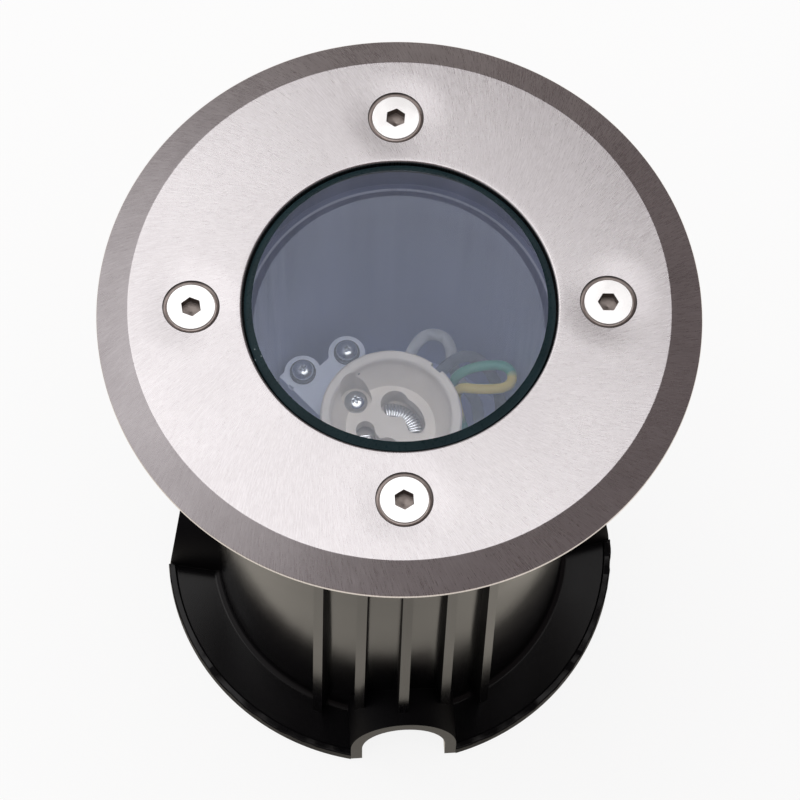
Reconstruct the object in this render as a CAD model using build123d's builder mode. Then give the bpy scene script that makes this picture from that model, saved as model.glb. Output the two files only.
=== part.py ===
"""In-ground well light: a steel bezel and glass lens over a sealed housing that sits in a ground sleeve.

Millimetres, +Z up, origin at the centre of the base. A cable tunnel of the sleeve points along -Y.
"""

import math
import os

from build123d import *

# ---------------------------------------------------------------- driving dimensions
total_height = 130.0  # base of the ground sleeve to the face of the bezel

# bezel
bezel_radius = 55.0
bezel_face_radius = 49.2
bezel_bevel_drop = 2.8
bezel_thickness = 4.0
window_radius = 28.6
window_edge_round = 0.8
fitting_turn = -2.5  # the whole fitting sits turned by this angle in its sleeve

# bezel screws
bezel_screw_count = 4
bezel_screw_circle = 37.75
bezel_screw_radius = 2.5
bezel_screw_length = 16.0
screw_hole_clearance = 0.25
countersink_radius = 5.35
screw_head_face_radius = 4.35
screw_head_rim = 0.55
screw_head_sink = 0.15
screw_socket_flats = 3.0
screw_socket_depth = 1.9
tapped_wall = 0.05  # gap between a screw and its tapped hole
tapped_spare = 0.5  # hole left under the tip of a screw
cut_margin = 1.0  # how far a cutting profile runs past what it cuts

# lens and gasket
lens_gap = 0.4  # radial gap between lens and window
lens_bevel = 1.4
lens_bevel_drop = 0.9
lens_thickness = 8.5
lens_rim_thickness = 3.9
lens_rim_radius = 32.4
gasket_wall = 1.0
gasket_lip = 0.8  # under the lens rim
gasket_lip_width = 3.0

# housing
flange_radius = 46.0
flange_thickness = 5.0
boss_radius = 5.75
boss_drop = 8.5  # below the flange
neck_radius = 36.5
neck_drop = 5.0  # below the flange
can_top_radius = 32.4
can_bottom_radius = 31.4
can_depth = 96.0  # from the bezel face to the underside of the can
floor_thickness = 4.0
seat_radius = 29.6
bore_step_drop = 14.5  # from the bezel face to the step in the bore
bore_top_radius = 28.2
bore_bottom_radius = 27.6
bore_step_round = 0.5
gland_pad_radius = 12.5
gland_pad_height = 1.2
earth_boss_radius = 3.9
earth_boss_height = 3.0

# lampholder
holder_x = -0.85
holder_y = -0.55
holder_drop = 55.0  # from the bezel face to the rim of the lampholder
holder_radius = 13.85
holder_rim = 2.1
holder_height = 12.0
dish_depth = 6.2
dish_wall_depth = 2.2
dish_wall_draft = 0.3
dish_floor_radius = 8.8
holder_round = 0.5
key_angle = 45.0
key_width = 2.4
key_depth = 0.8
pin_radius = 5.0  # half the spacing of the lamp's pins
slot_start = 3.0
slot_sweep = 74.0
slot_width = 3.7
slot_mouth_radius = 2.8
slot_floor = 3.0  # ceramic above the contact chambers
chamber_width = 6.0
fixing_angle = 135.0
fixing_circle = 9.1
counterbore_radius = 3.1
counterbore_depth = 8.6  # from the rim
cover_radius = 13.2
cover_thickness = 2.0
lead_hole_radius = 1.35
lead_hole_depth = 2.0

# contacts
contact_width = 2.6
contact_strip = 0.6
contact_drop = 3.4  # from the dish floor to the contact
contact_ribs = 8
contact_rib = 0.4
contact_sweep = 92.0

# bracket
bracket_angle = 130.0
bracket_thickness = 1.0
bracket_half_width = 6.4
bracket_half_length = 21.5
bracket_tip = 25.3
bracket_lip_depth = 4.0
bracket_lip_run = 14.0
ear_radius = 3.7
ear_one = (22.7, 2.4)  # along and across the bracket
ear_two = (19.8, -6.9)
post_radius = 2.8

# small screws, washers and nuts
small_screw_radius = 1.5
small_screw_clearance = 0.2
pan_head_radius = 2.7
pan_head_height = 1.9
pan_head_round = 0.8
holder_head_radius = 2.3
cross_width = 0.6
cross_depth = 0.9
washer_radius = 3.5
washer_thickness = 0.6
bracket_screw_length = 8.0
small_nut_flats = 5.5
small_nut_height = 2.4

# terminal block
pole_count = 3
pole_pitch = 4.6
pole_first_x = 13.8
block_y = 1.5
block_length = 12.0
block_base_height = 6.6
tower_radius = 2.1
tower_height = 10.6
tower_offset = 3.2
pole_height = 3.6  # wire bore above the housing floor
insert_radius = 1.85
insert_bore_radius = 1.3
clamp_screw_radius = 1.4
clamp_slot_width = 0.5
clamp_slot_depth = 0.7
block_ear_radius = 3.0
block_ear_thickness = 2.0
block_ear_x = 14.0
block_ear_reach = 3.6

# leads
lead_diameter = 2.3
earth_diameter = 2.0
lead_start_radius = 12.2
lead_drop = 10.4  # from the rim of the lampholder to the lead holes
lead_clearance = 4.0  # from the top of the terminal block to the lead that crosses it
arc_share = 0.45

# earth lug
earth_x = 21.2
earth_y = -10.8
lug_ring_radius = 3.3
lug_thickness = 0.8
lug_barrel_radius = 1.6
lug_barrel_height = 5.0
lug_barrel_x = 1.1
lug_barrel_y = 4.3

# cable gland
gland_thread_radius = 8.0
gland_hole_clearance = 0.1
gland_bore_radius = 4.6
gland_flats = 20.0
gland_collar_height = 4.6
gland_thread_above = 5.4  # above the housing floor
gland_thread_below = 13.0
gland_stub_radius = 7.6
locknut_height = 3.4
locknut_flats = 19.0
oring_radius = 8.9
oring_section = 0.7
seal_outer_radius = 6.2
seal_length = 8.0
seal_bore_radius = 3.5
dome_length = 15.0
dome_flats = 20.0
dome_wall = 2.0
dome_round = 3.0

# ground sleeve
sleeve_radius = 36.5
sleeve_bore_radius = 34.0
collar_radius = 48.8
collar_bore_radius = 46.6
collar_drop = 18.5  # from the bezel face to the foot of the collar
shoulder_drop = 27.0
shoulder_wall = 1.5
base_radius = 47.4
base_thickness = 2.0
base_bead_width = 1.5
base_bead_height = 0.5
base_fillet = 1.5
side_turn = 12.0  # of the two side tunnels, toward the one at the back
tunnel_headings = (-90.0, side_turn, 90.0, 180.0 - side_turn)
tunnel_width = 22.0
tunnel_height = 16.0
tunnel_wall = 2.35
tunnel_setback = 1.4  # from the rim of the base
tunnel_lean = 6.0
rib_headings = (-90.0, 90.0)  # the middle of each group
rib_angles = (-26.0, -13.0, 0.0, 13.0, 26.0)
rib_width = 2.0
rib_foot_radius = 40.0
rib_draft = 2.2
rib_root = 0.4

# ---------------------------------------------------------------- derived heights
bezel_top = total_height
bezel_under = bezel_top - bezel_thickness
lens_radius = window_radius - lens_gap
lens_bottom = bezel_top - lens_thickness
lens_rim_top = lens_bottom + lens_rim_thickness
gasket_radius = lens_rim_radius + gasket_wall
gasket_bottom = lens_bottom - gasket_lip
flange_bottom = bezel_under - flange_thickness
neck_bottom = flange_bottom - neck_drop
boss_bottom = flange_bottom - boss_drop
can_bottom = bezel_top - can_depth
floor_top = can_bottom + floor_thickness
can_top = neck_bottom - (neck_radius - can_top_radius)
bore_step = bezel_top - bore_step_drop
holder_top = bezel_top - holder_drop
holder_bottom = holder_top - holder_height
cover_bottom = holder_bottom - cover_thickness
bracket_bottom = cover_bottom - bracket_thickness
dish_floor = holder_top - dish_depth
chamber_top = dish_floor - slot_floor
contact_top = dish_floor - contact_drop
head_seat = holder_top - counterbore_depth
lead_height = holder_top - lead_drop
pole_z = floor_top + pole_height
block_front = block_y - block_length / 2
block_back = block_y + block_length / 2
earth_seat = floor_top + earth_boss_height
gland_face = can_bottom - gland_pad_height
gland_foot = gland_face - gland_collar_height

pole_xs = [pole_first_x + pole_pitch * index for index in range(pole_count)]
holder_plane = Plane((holder_x, holder_y, holder_top))
bracket_plane = Plane(
    origin=(holder_x, holder_y, bracket_bottom),
    x_dir=(math.cos(math.radians(bracket_angle)), math.sin(math.radians(bracket_angle)), 0),
    z_dir=(0, 0, 1),
)
ear_points = [ear_one, ear_two, (-ear_one[0], -ear_one[1]), (-ear_two[0], -ear_two[1])]
ear_centres = [bracket_plane.from_local_coords((along, across, 0)) for along, across in ear_points]
post_points = [(point.X, point.Y) for point in ear_centres]
fixing_points = [
    (
        holder_x + fixing_circle * math.cos(math.radians(fixing_angle + turn)),
        holder_y + fixing_circle * math.sin(math.radians(fixing_angle + turn)),
    )
    for turn in (0, 180)
]

os.makedirs("parts", exist_ok=True)


def finish(builder, label):
    """Label a finished piece and write it out."""
    builder.part.label = label
    export_step(builder.part, f"parts/{label}.step")


# ---------------------------------------------------------------- bezel ring
with BuildPart() as bezel_ring:
    with BuildSketch(Plane.XZ) as bezel_section:
        with BuildLine():
            Polyline(
                (window_radius, bezel_under),
                (bezel_radius, bezel_under),
                (bezel_radius, bezel_top - bezel_bevel_drop),
                (bezel_face_radius, bezel_top),
                (window_radius, bezel_top),
                close=True,
            )
        make_face()
        window_corner = bezel_section.vertices().group_by(Axis.X)[0].sort_by(Axis.Y)[-1]
        fillet(window_corner, window_edge_round)
    revolve(axis=Axis.Z)
    with Locations((0, 0, bezel_top)):
        with PolarLocations(bezel_screw_circle, bezel_screw_count, start_angle=fitting_turn):
            CounterSinkHole(
                radius=bezel_screw_radius + screw_hole_clearance,
                counter_sink_radius=countersink_radius,
                depth=bezel_thickness,
                counter_sink_angle=90,
            )
finish(bezel_ring, "bezel_ring")

# ---------------------------------------------------------------- bezel screws
screw_face = bezel_top - screw_head_sink
screw_head_radius = countersink_radius - screw_head_sink - screw_head_rim
cone_drop = screw_head_radius - bezel_screw_radius
with BuildPart() as bezel_screw:
    with BuildSketch(Plane.XZ):
        with BuildLine():
            Polyline(
                (0, screw_face),
                (screw_head_face_radius, screw_face),
                (screw_head_radius, screw_face - screw_head_rim),
                (bezel_screw_radius, screw_face - screw_head_rim - cone_drop),
                (bezel_screw_radius, bezel_top - bezel_screw_length),
                (0, bezel_top - bezel_screw_length),
                close=True,
            )
        make_face()
    revolve(axis=Axis.Z)
    with BuildSketch(Plane.XY.offset(screw_face)):
        RegularPolygon(screw_socket_flats / 2, 6, major_radius=False)
    extrude(amount=-screw_socket_depth, mode=Mode.SUBTRACT)
with BuildPart() as bezel_screws:
    with PolarLocations(bezel_screw_circle, bezel_screw_count, start_angle=fitting_turn):
        add(bezel_screw.part)
finish(bezel_screws, "bezel_screws")

# ---------------------------------------------------------------- glass lens
with BuildPart() as glass_lens:
    with BuildSketch(Plane.XZ):
        with BuildLine():
            Polyline(
                (0, bezel_top),
                (lens_radius - lens_bevel, bezel_top),
                (lens_radius, bezel_top - lens_bevel_drop),
                (lens_radius, lens_rim_top),
                (lens_rim_radius, lens_rim_top),
                (lens_rim_radius, lens_bottom),
                (0, lens_bottom),
                close=True,
            )
        make_face()
    revolve(axis=Axis.Z)
finish(glass_lens, "glass_lens")

# ---------------------------------------------------------------- lens gasket
with BuildPart() as lens_gasket:
    with BuildSketch(Plane.XZ):
        with BuildLine():
            Polyline(
                (lens_radius, lens_rim_top),
                (lens_radius, bezel_under),
                (gasket_radius, bezel_under),
                (gasket_radius, gasket_bottom),
                (gasket_radius - gasket_wall - gasket_lip_width, gasket_bottom),
                (gasket_radius - gasket_wall - gasket_lip_width, lens_bottom),
                (lens_rim_radius, lens_bottom),
                (lens_rim_radius, lens_rim_top),
                close=True,
            )
        make_face()
    revolve(axis=Axis.Z)
finish(lens_gasket, "lens_gasket")

# ---------------------------------------------------------------- housing
with BuildPart() as housing_can:
    with BuildSketch(Plane.XZ) as can_section:
        with BuildLine():
            Polyline(
                (gasket_radius, bezel_under),
                (flange_radius, bezel_under),
                (flange_radius, flange_bottom),
                (neck_radius, flange_bottom),
                (neck_radius, neck_bottom),
                (can_top_radius, can_top),
                (can_bottom_radius, can_bottom),
                (0, can_bottom),
                (0, floor_top),
                (bore_bottom_radius, floor_top),
                (bore_top_radius, bore_step),
                (seat_radius, bore_step),
                (seat_radius, gasket_bottom),
                (gasket_radius, gasket_bottom),
                close=True,
            )
        make_face()
        step_corner = can_section.vertices().sort_by_distance((bore_top_radius, bore_step))[0]
        fillet(step_corner, bore_step_round)
    revolve(axis=Axis.Z)
    with BuildSketch(Plane.XY.offset(boss_bottom)):
        with PolarLocations(bezel_screw_circle, bezel_screw_count, start_angle=fitting_turn):
            Circle(boss_radius)
    extrude(amount=flange_bottom - boss_bottom)
    with BuildSketch(Plane.XY.offset(gasket_bottom)):
        Circle(gasket_radius)
    extrude(amount=bezel_under - gasket_bottom, mode=Mode.SUBTRACT)
    with BuildSketch(Plane.XY.offset(floor_top)):
        with Locations(*post_points):
            Circle(post_radius)
    extrude(amount=bracket_bottom - floor_top)
    with BuildSketch(Plane.XY.offset(floor_top)):
        with Locations((earth_x, earth_y)):
            Circle(earth_boss_radius)
    extrude(amount=earth_boss_height)
    with BuildSketch(Plane.XY.offset(gland_face)):
        Circle(gland_pad_radius)
    extrude(amount=gland_pad_height)
    with BuildSketch(Plane.XY.offset(gland_face)):
        Circle(gland_thread_radius + gland_hole_clearance)
    extrude(amount=gland_pad_height + floor_thickness, mode=Mode.SUBTRACT)
    with Locations((0, 0, bezel_under)):
        with PolarLocations(bezel_screw_circle, bezel_screw_count, start_angle=fitting_turn):
            Hole(bezel_screw_radius + tapped_wall, depth=bezel_screw_length - bezel_thickness + tapped_spare)
    with Locations(*[(x, y, bracket_bottom) for x, y in post_points]):
        Hole(small_screw_radius + tapped_wall, depth=bracket_screw_length)
    with Locations((earth_x, earth_y, earth_seat)):
        Hole(small_screw_radius + tapped_wall, depth=earth_boss_height + floor_thickness / 2)
    with Locations((block_ear_x, block_front - block_ear_reach, floor_top)):
        Hole(small_screw_radius + tapped_wall, depth=floor_thickness / 2 + tapped_spare)
finish(housing_can, "housing_can")

# ---------------------------------------------------------------- lampholder
lead_routes = {
    "lead_hoop": [
        (5.0, 20.6, lead_height),
        (12.4, 20.9, lead_height - 0.8),
        (12.6, 13.6, lead_height - 4.6),
        (17.4, 12.8, pole_z + 8.0),
        (pole_xs[1], 12.2, pole_z),
        (pole_xs[1], block_back, pole_z),
    ],
    "lead_short": [
        (11.0, 14.0, lead_height),
        (15.6, 15.8, lead_height + 0.6),
        (19.6, 13.6, lead_height - 1.2),
        (22.2, 12.4, pole_z + 11.0),
        (pole_xs[2], 12.0, pole_z),
        (pole_xs[2], block_back, pole_z),
    ],
}


def lead_start(first):
    """Start of a lead: inside its hole in the lampholder, on the line that points at the first bend."""
    aim = Vector(first[0] - holder_x, first[1] - holder_y).normalized()
    return (holder_x + aim.X * lead_start_radius, holder_y + aim.Y * lead_start_radius, first[2])


slot_track = CenterArc((0, 0), pin_radius, slot_start, slot_sweep)
with BuildPart() as lampholder_body:
    with BuildSketch(Plane.XZ.offset(-holder_y)) as holder_section:
        with BuildLine():
            Polyline(
                (holder_x, dish_floor),
                (holder_x + dish_floor_radius, dish_floor),
                (holder_x + holder_radius - holder_rim - dish_wall_draft, holder_top - dish_wall_depth),
                (holder_x + holder_radius - holder_rim, holder_top),
                (holder_x + holder_radius, holder_top),
                (holder_x + holder_radius, holder_bottom),
                (holder_x, holder_bottom),
                close=True,
            )
        make_face()
        fillet(holder_section.vertices().group_by(Axis.Y)[-1], holder_round)
    revolve(axis=Axis((holder_x, holder_y, 0), (0, 0, 1)))
    with BuildSketch(holder_plane):
        with PolarLocations(0, 2):
            SlotArc(slot_track, slot_width)
            with Locations(slot_track @ 1):
                Circle(slot_mouth_radius)
    extrude(amount=-(dish_depth + slot_floor), mode=Mode.SUBTRACT)
    with BuildSketch(holder_plane.offset(-holder_height)):
        with PolarLocations(0, 2):
            SlotArc(slot_track, chamber_width)
    extrude(amount=chamber_top - holder_bottom, mode=Mode.SUBTRACT)
    with BuildSketch(Plane.XY.offset(holder_top)):
        with Locations(*fixing_points):
            Circle(counterbore_radius)
    extrude(amount=-counterbore_depth, mode=Mode.SUBTRACT)
    with BuildSketch(Plane.XY.offset(holder_bottom)):
        with Locations(*fixing_points):
            Circle(small_screw_radius + small_screw_clearance)
    extrude(amount=holder_height, mode=Mode.SUBTRACT)
    with BuildSketch(holder_plane):
        with PolarLocations(holder_radius, 1, start_angle=key_angle):
            Rectangle(2 * key_depth, key_width)
    extrude(amount=-holder_height, mode=Mode.SUBTRACT)
    for route in lead_routes.values():
        start = Vector(*lead_start(route[0]))
        aim = Vector(*route[0]) - start
        with BuildSketch(Plane(origin=start, z_dir=aim)):
            Circle(lead_hole_radius)
        extrude(amount=lead_hole_depth, mode=Mode.SUBTRACT)
finish(lampholder_body, "lampholder_body")

with BuildPart() as lampholder_cover:
    with BuildSketch(holder_plane.offset(-(holder_height + cover_thickness))):
        Circle(cover_radius)
    extrude(amount=cover_thickness)
    with BuildSketch(Plane.XY.offset(cover_bottom)):
        with Locations(*fixing_points):
            Circle(small_screw_radius + small_screw_clearance)
    extrude(amount=cover_thickness, mode=Mode.SUBTRACT)
finish(lampholder_cover, "lampholder_cover")

# ---------------------------------------------------------------- contacts
contact_track = CenterArc((0, 0), pin_radius, slot_start, contact_sweep)
with BuildPart() as lampholder_contacts:
    with BuildSketch(holder_plane.offset(contact_top - holder_top)):
        with PolarLocations(0, 2):
            SlotArc(contact_track, contact_width)
    extrude(amount=-contact_strip)
    with BuildSketch(holder_plane.offset(-holder_height)):
        with PolarLocations(0, 2):
            with Locations(contact_track @ 0.5):
                Circle(contact_width / 2)
    extrude(amount=contact_top - contact_strip - holder_bottom)
    for index in range(contact_ribs):
        rib_angle = slot_start + contact_sweep * (index + 0.5) / contact_ribs
        with BuildSketch(holder_plane.offset(contact_top - holder_top)):
            with PolarLocations(pin_radius, 2, start_angle=rib_angle):
                Rectangle(contact_width - 2 * contact_rib, contact_rib)
        extrude(amount=contact_rib)
finish(lampholder_contacts, "lampholder_contacts")


def pan_screw(head_radius, length):
    """One cross-recessed pan-head screw along Z, its head standing on Z = 0."""
    with BuildPart() as screw:
        with BuildSketch(Plane.XZ) as section:
            with BuildLine():
                Polyline(
                    (0, pan_head_height),
                    (head_radius, pan_head_height),
                    (head_radius, 0),
                    (small_screw_radius, 0),
                    (small_screw_radius, -length),
                    (0, -length),
                    close=True,
                )
            make_face()
            fillet(section.vertices().sort_by_distance((head_radius, pan_head_height))[0], pan_head_round)
        revolve(axis=Axis.Z)
        with BuildSketch(Plane.XY.offset(pan_head_height)):
            Rectangle(head_radius, cross_width)
            Rectangle(cross_width, head_radius)
        extrude(amount=-cross_depth, mode=Mode.SUBTRACT)
    return screw.part


# ---------------------------------------------------------------- holder screws and nuts
holder_screw = pan_screw(holder_head_radius, head_seat - bracket_bottom + small_nut_height)
with BuildPart() as holder_screws:
    with Locations(*[(x, y, head_seat) for x, y in fixing_points]):
        add(holder_screw)
finish(holder_screws, "holder_screws")

with BuildPart() as holder_nuts:
    with BuildSketch(Plane.XY.offset(bracket_bottom)):
        with Locations(*fixing_points):
            RegularPolygon(small_nut_flats / 2, 6, major_radius=False)
            Circle(small_screw_radius + tapped_wall, mode=Mode.SUBTRACT)
    extrude(amount=-small_nut_height)
finish(holder_nuts, "holder_nuts")

# ---------------------------------------------------------------- bracket
with BuildPart() as holder_bracket:
    with BuildSketch(bracket_plane):
        Rectangle(2 * bracket_half_length, 2 * bracket_half_width)
        with Locations(*ear_points):
            Circle(ear_radius)
        for side in (1, -1):
            corner_reach = bracket_tip - ear_one[0]
            corner_rise = bracket_half_width - ear_one[1]
            corner_x = side * (ear_one[0] + corner_reach / 2)
            corner_y = side * (ear_one[1] + corner_rise / 2)
            with Locations((corner_x, corner_y)):
                Rectangle(corner_reach, corner_rise)
    extrude(amount=bracket_thickness)
    with BuildSketch(bracket_plane):
        for side in (1, -1):
            lip_centre = side * (bracket_tip - bracket_lip_run) / 2
            with Locations((lip_centre, side * (bracket_half_width - bracket_thickness / 2))):
                Rectangle(bracket_tip + bracket_lip_run, bracket_thickness)
    extrude(amount=-bracket_lip_depth)
    with BuildSketch(Plane.XY.offset(bracket_bottom)):
        with Locations(*post_points, *fixing_points):
            Circle(small_screw_radius + small_screw_clearance)
    extrude(amount=bracket_thickness, mode=Mode.SUBTRACT)
finish(holder_bracket, "holder_bracket")

with BuildPart() as bracket_washers:
    with BuildSketch(Plane.XY.offset(cover_bottom)):
        with Locations(*post_points):
            Circle(washer_radius)
            Circle(small_screw_radius + small_screw_clearance, mode=Mode.SUBTRACT)
    extrude(amount=washer_thickness)
finish(bracket_washers, "bracket_washers")

bracket_screw = pan_screw(pan_head_radius, bracket_screw_length)
with BuildPart() as bracket_screws:
    with Locations(*[(x, y, cover_bottom + washer_thickness) for x, y in post_points]):
        add(bracket_screw)
finish(bracket_screws, "bracket_screws")

# ---------------------------------------------------------------- terminal block
tower_points = [(x, block_y + side * tower_offset) for x in pole_xs for side in (1, -1)]
with BuildPart() as terminal_block:
    with BuildSketch(Plane.XY.offset(floor_top)):
        with Locations((pole_xs[1], block_y)):
            Rectangle(pole_count * pole_pitch, block_length)
    extrude(amount=block_base_height)
    with BuildSketch(Plane.XY.offset(floor_top + block_base_height)):
        with Locations(*tower_points):
            Circle(tower_radius)
    extrude(amount=tower_height - block_base_height)
    with BuildSketch(Plane.XY.offset(floor_top)):
        with Locations((block_ear_x, block_front - block_ear_reach)):
            Circle(block_ear_radius)
        with Locations((block_ear_x, block_front - block_ear_reach / 2)):
            Rectangle(2 * block_ear_radius, block_ear_reach)
    extrude(amount=block_ear_thickness)
    with BuildSketch(Plane.XY.offset(floor_top)):
        with Locations((block_ear_x, block_front - block_ear_reach)):
            Circle(small_screw_radius + small_screw_clearance)
    extrude(amount=block_ear_thickness, mode=Mode.SUBTRACT)
    with BuildSketch(Plane.XZ.offset(-block_back)):
        with Locations(*[(x, pole_z) for x in pole_xs]):
            Circle(insert_radius)
    extrude(amount=block_length, mode=Mode.SUBTRACT)
    with BuildSketch(Plane.XY.offset(pole_z)):
        with Locations(*tower_points):
            Circle(clamp_screw_radius + tapped_wall)
    extrude(amount=tower_height, mode=Mode.SUBTRACT)
finish(terminal_block, "terminal_block")

with BuildPart() as terminal_inserts:
    with BuildSketch(Plane.XZ.offset(-block_back)):
        with Locations(*[(x, pole_z) for x in pole_xs]):
            Circle(insert_radius)
            Circle(insert_bore_radius, mode=Mode.SUBTRACT)
    extrude(amount=block_length)
finish(terminal_inserts, "terminal_inserts")

clamp_foot = pole_z + insert_radius
clamp_top = floor_top + tower_height - clamp_slot_depth
with BuildPart() as clamp_screws:
    with BuildSketch(Plane.XY.offset(clamp_foot)):
        with Locations(*tower_points):
            Circle(clamp_screw_radius)
    extrude(amount=clamp_top - clamp_foot)
    with BuildSketch(Plane.XY.offset(clamp_top)):
        with Locations(*tower_points):
            Rectangle(2 * clamp_screw_radius, clamp_slot_width)
    extrude(amount=-clamp_slot_depth, mode=Mode.SUBTRACT)
finish(clamp_screws, "clamp_screws")

with BuildPart() as block_screw:
    with Locations((block_ear_x, block_front - block_ear_reach, floor_top + block_ear_thickness)):
        add(pan_screw(pan_head_radius, block_ear_thickness + floor_thickness / 2))
finish(block_screw, "block_screw")

# ---------------------------------------------------------------- earth lug and screw
barrel_x = earth_x + lug_barrel_x
barrel_y = earth_y + lug_barrel_y
with BuildPart() as earth_lug:
    with BuildSketch(Plane.XY.offset(earth_seat)):
        with Locations((earth_x, earth_y)):
            Circle(lug_ring_radius)
        with Locations((barrel_x, barrel_y)):
            Circle(lug_barrel_radius)
        with Locations(((earth_x + barrel_x) / 2, (earth_y + barrel_y) / 2)):
            Rectangle(2 * lug_barrel_radius, math.hypot(lug_barrel_x, lug_barrel_y))
        with Locations((earth_x, earth_y)):
            Circle(small_screw_radius + small_screw_clearance, mode=Mode.SUBTRACT)
    extrude(amount=lug_thickness)
    with BuildSketch(Plane.XY.offset(earth_seat)):
        with Locations((barrel_x, barrel_y)):
            Circle(lug_barrel_radius)
    extrude(amount=lug_barrel_height)
finish(earth_lug, "earth_lug")

with BuildPart() as earth_screw:
    with Locations((earth_x, earth_y, earth_seat + lug_thickness)):
        add(pan_screw(pan_head_radius, earth_boss_height + floor_thickness / 2 - tapped_spare))
finish(earth_screw, "earth_screw")


# ---------------------------------------------------------------- leads
def bend_radii(points):
    """The largest arc that each corner of a route has room for."""
    radii = []
    for before, corner, after in zip(points, points[1:], points[2:]):
        arriving = Vector(*corner) - Vector(*before)
        leaving = Vector(*after) - Vector(*corner)
        half_turn = math.radians(arriving.get_angle(leaving)) / 2
        radii.append(arc_share * min(arriving.length, leaving.length) / math.tan(half_turn))
    return radii


def run_lead(points, diameter):
    """A round lead swept along straight runs joined by arcs."""
    radii = bend_radii(points)
    print("lead bends", [round(radius, 1) for radius in radii])
    with BuildPart() as lead:
        with BuildLine():
            route = FilletPolyline(*points, radius=radii)
        with BuildSketch(Plane(origin=route @ 0, z_dir=route % 0)):
            Circle(diameter / 2)
        sweep()
    expected = math.pi * diameter**2 / 4 * route.length
    print("lead length", round(route.length, 1), "volume ratio", round(lead.part.volume / expected, 4))
    return lead


for label, route in lead_routes.items():
    finish(run_lead([lead_start(route[0]), *route], lead_diameter), label)

earth_top = earth_seat + lug_barrel_height
over_block = floor_top + tower_height + lead_clearance
earth_route = [
    (pole_xs[0], block_back, pole_z),
    (pole_xs[0], block_back + 3.6, pole_z + 0.4),
    (12.7, 11.4, over_block + 1.4),
    (12.2, 10.4, holder_top - 8.2),
    (17.4, 12.0, holder_top - 7.0),
    (23.8, 11.7, holder_top - 7.2),
    (23.8, 6.9, holder_top - 7.2),
    (17.4, 6.6, holder_top - 6.8),
    (12.6, 8.0, holder_top - 7.8),
    (12.8, 6.4, (over_block + holder_top - 7.8) / 2),
    (15.6, 0.6, over_block),
    (barrel_x, barrel_y, over_block + 0.4),
    (barrel_x, barrel_y, earth_top),
]
finish(run_lead(earth_route, earth_diameter), "earth_lead")

# ---------------------------------------------------------------- cable gland
thread_top = floor_top + gland_thread_above
stub_foot = gland_foot - gland_thread_below
with BuildPart() as gland_body:
    with BuildSketch(Plane.XY.offset(gland_foot)):
        RegularPolygon(gland_flats / 2, 6, major_radius=False)
    extrude(amount=gland_collar_height - oring_section)
    with BuildSketch(Plane.XY.offset(gland_foot)):
        Circle(gland_thread_radius)
    extrude(amount=thread_top - gland_foot)
    with BuildSketch(Plane.XY.offset(gland_foot)):
        Circle(gland_stub_radius)
    extrude(amount=-gland_thread_below)
    with BuildSketch(Plane.XY.offset(stub_foot)):
        Circle(gland_bore_radius)
    extrude(amount=thread_top - stub_foot, mode=Mode.SUBTRACT)
    with BuildSketch(Plane.XY.offset(stub_foot)):
        Circle(seal_outer_radius)
    extrude(amount=seal_length, mode=Mode.SUBTRACT)
finish(gland_body, "gland_body")

with BuildPart() as gland_seal:
    with BuildSketch(Plane.XY.offset(stub_foot)):
        Circle(seal_outer_radius)
        Circle(seal_bore_radius, mode=Mode.SUBTRACT)
    extrude(amount=seal_length)
finish(gland_seal, "gland_seal")

with BuildPart() as gland_oring:
    with BuildSketch(Plane.XY.offset(gland_face)):
        Circle(oring_radius)
        Circle(gland_thread_radius, mode=Mode.SUBTRACT)
    extrude(amount=-oring_section)
finish(gland_oring, "gland_oring")

with BuildPart() as gland_locknut:
    with BuildSketch(Plane.XY.offset(floor_top)):
        RegularPolygon(locknut_flats / 2, 6, major_radius=False)
        Circle(gland_thread_radius + tapped_wall, mode=Mode.SUBTRACT)
    extrude(amount=locknut_height)
finish(gland_locknut, "gland_locknut")

dome_foot = gland_foot - dome_length
dome_corner = dome_flats / math.sqrt(3)
with BuildPart() as gland_nut:
    with BuildSketch(Plane.XY.offset(gland_foot)):
        RegularPolygon(dome_flats / 2, 6, major_radius=False)
    extrude(amount=-dome_length)
    with BuildSketch(Plane.XZ) as dome_section:
        with BuildLine():
            Polyline((0, dome_foot), (dome_corner, dome_foot), (dome_corner, gland_foot), (0, gland_foot), close=True)
        make_face()
        fillet(dome_section.vertices().sort_by_distance((dome_corner, dome_foot))[0], dome_round)
    revolve(axis=Axis.Z, mode=Mode.INTERSECT)
    with BuildSketch(Plane.XY.offset(gland_foot)):
        Circle(gland_stub_radius + tapped_wall)
    extrude(amount=-(dome_length - dome_wall), mode=Mode.SUBTRACT)
    with BuildSketch(Plane.XY.offset(dome_foot)):
        Circle(gland_bore_radius)
    extrude(amount=dome_length, mode=Mode.SUBTRACT)
finish(gland_nut, "gland_nut")

# ---------------------------------------------------------------- ground sleeve
collar_foot = bezel_top - collar_drop
shoulder_foot = bezel_top - shoulder_drop
tunnel_leg = tunnel_height - tunnel_width / 2
tunnel_reach = base_radius - tunnel_setback
lean_top = tunnel_height + cut_margin
rib_rise = (rib_foot_radius - sleeve_radius + rib_root) / math.tan(math.radians(rib_draft))


def outward(heading):
    """Unit vector that points out from the axis at a heading, counted from +X."""
    return Vector(math.cos(math.radians(heading)), math.sin(math.radians(heading)), 0)


def facing(heading):
    """Plane through the axis that faces outward at a heading, its Y upright."""
    return Plane(origin=(0, 0, 0), x_dir=outward(heading + 90), z_dir=outward(heading))


def upright(heading):
    """Plane through the axis whose X runs outward at a heading and whose Y is upright."""
    return Plane(origin=(0, 0, 0), x_dir=outward(heading), z_dir=outward(heading - 90))


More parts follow.
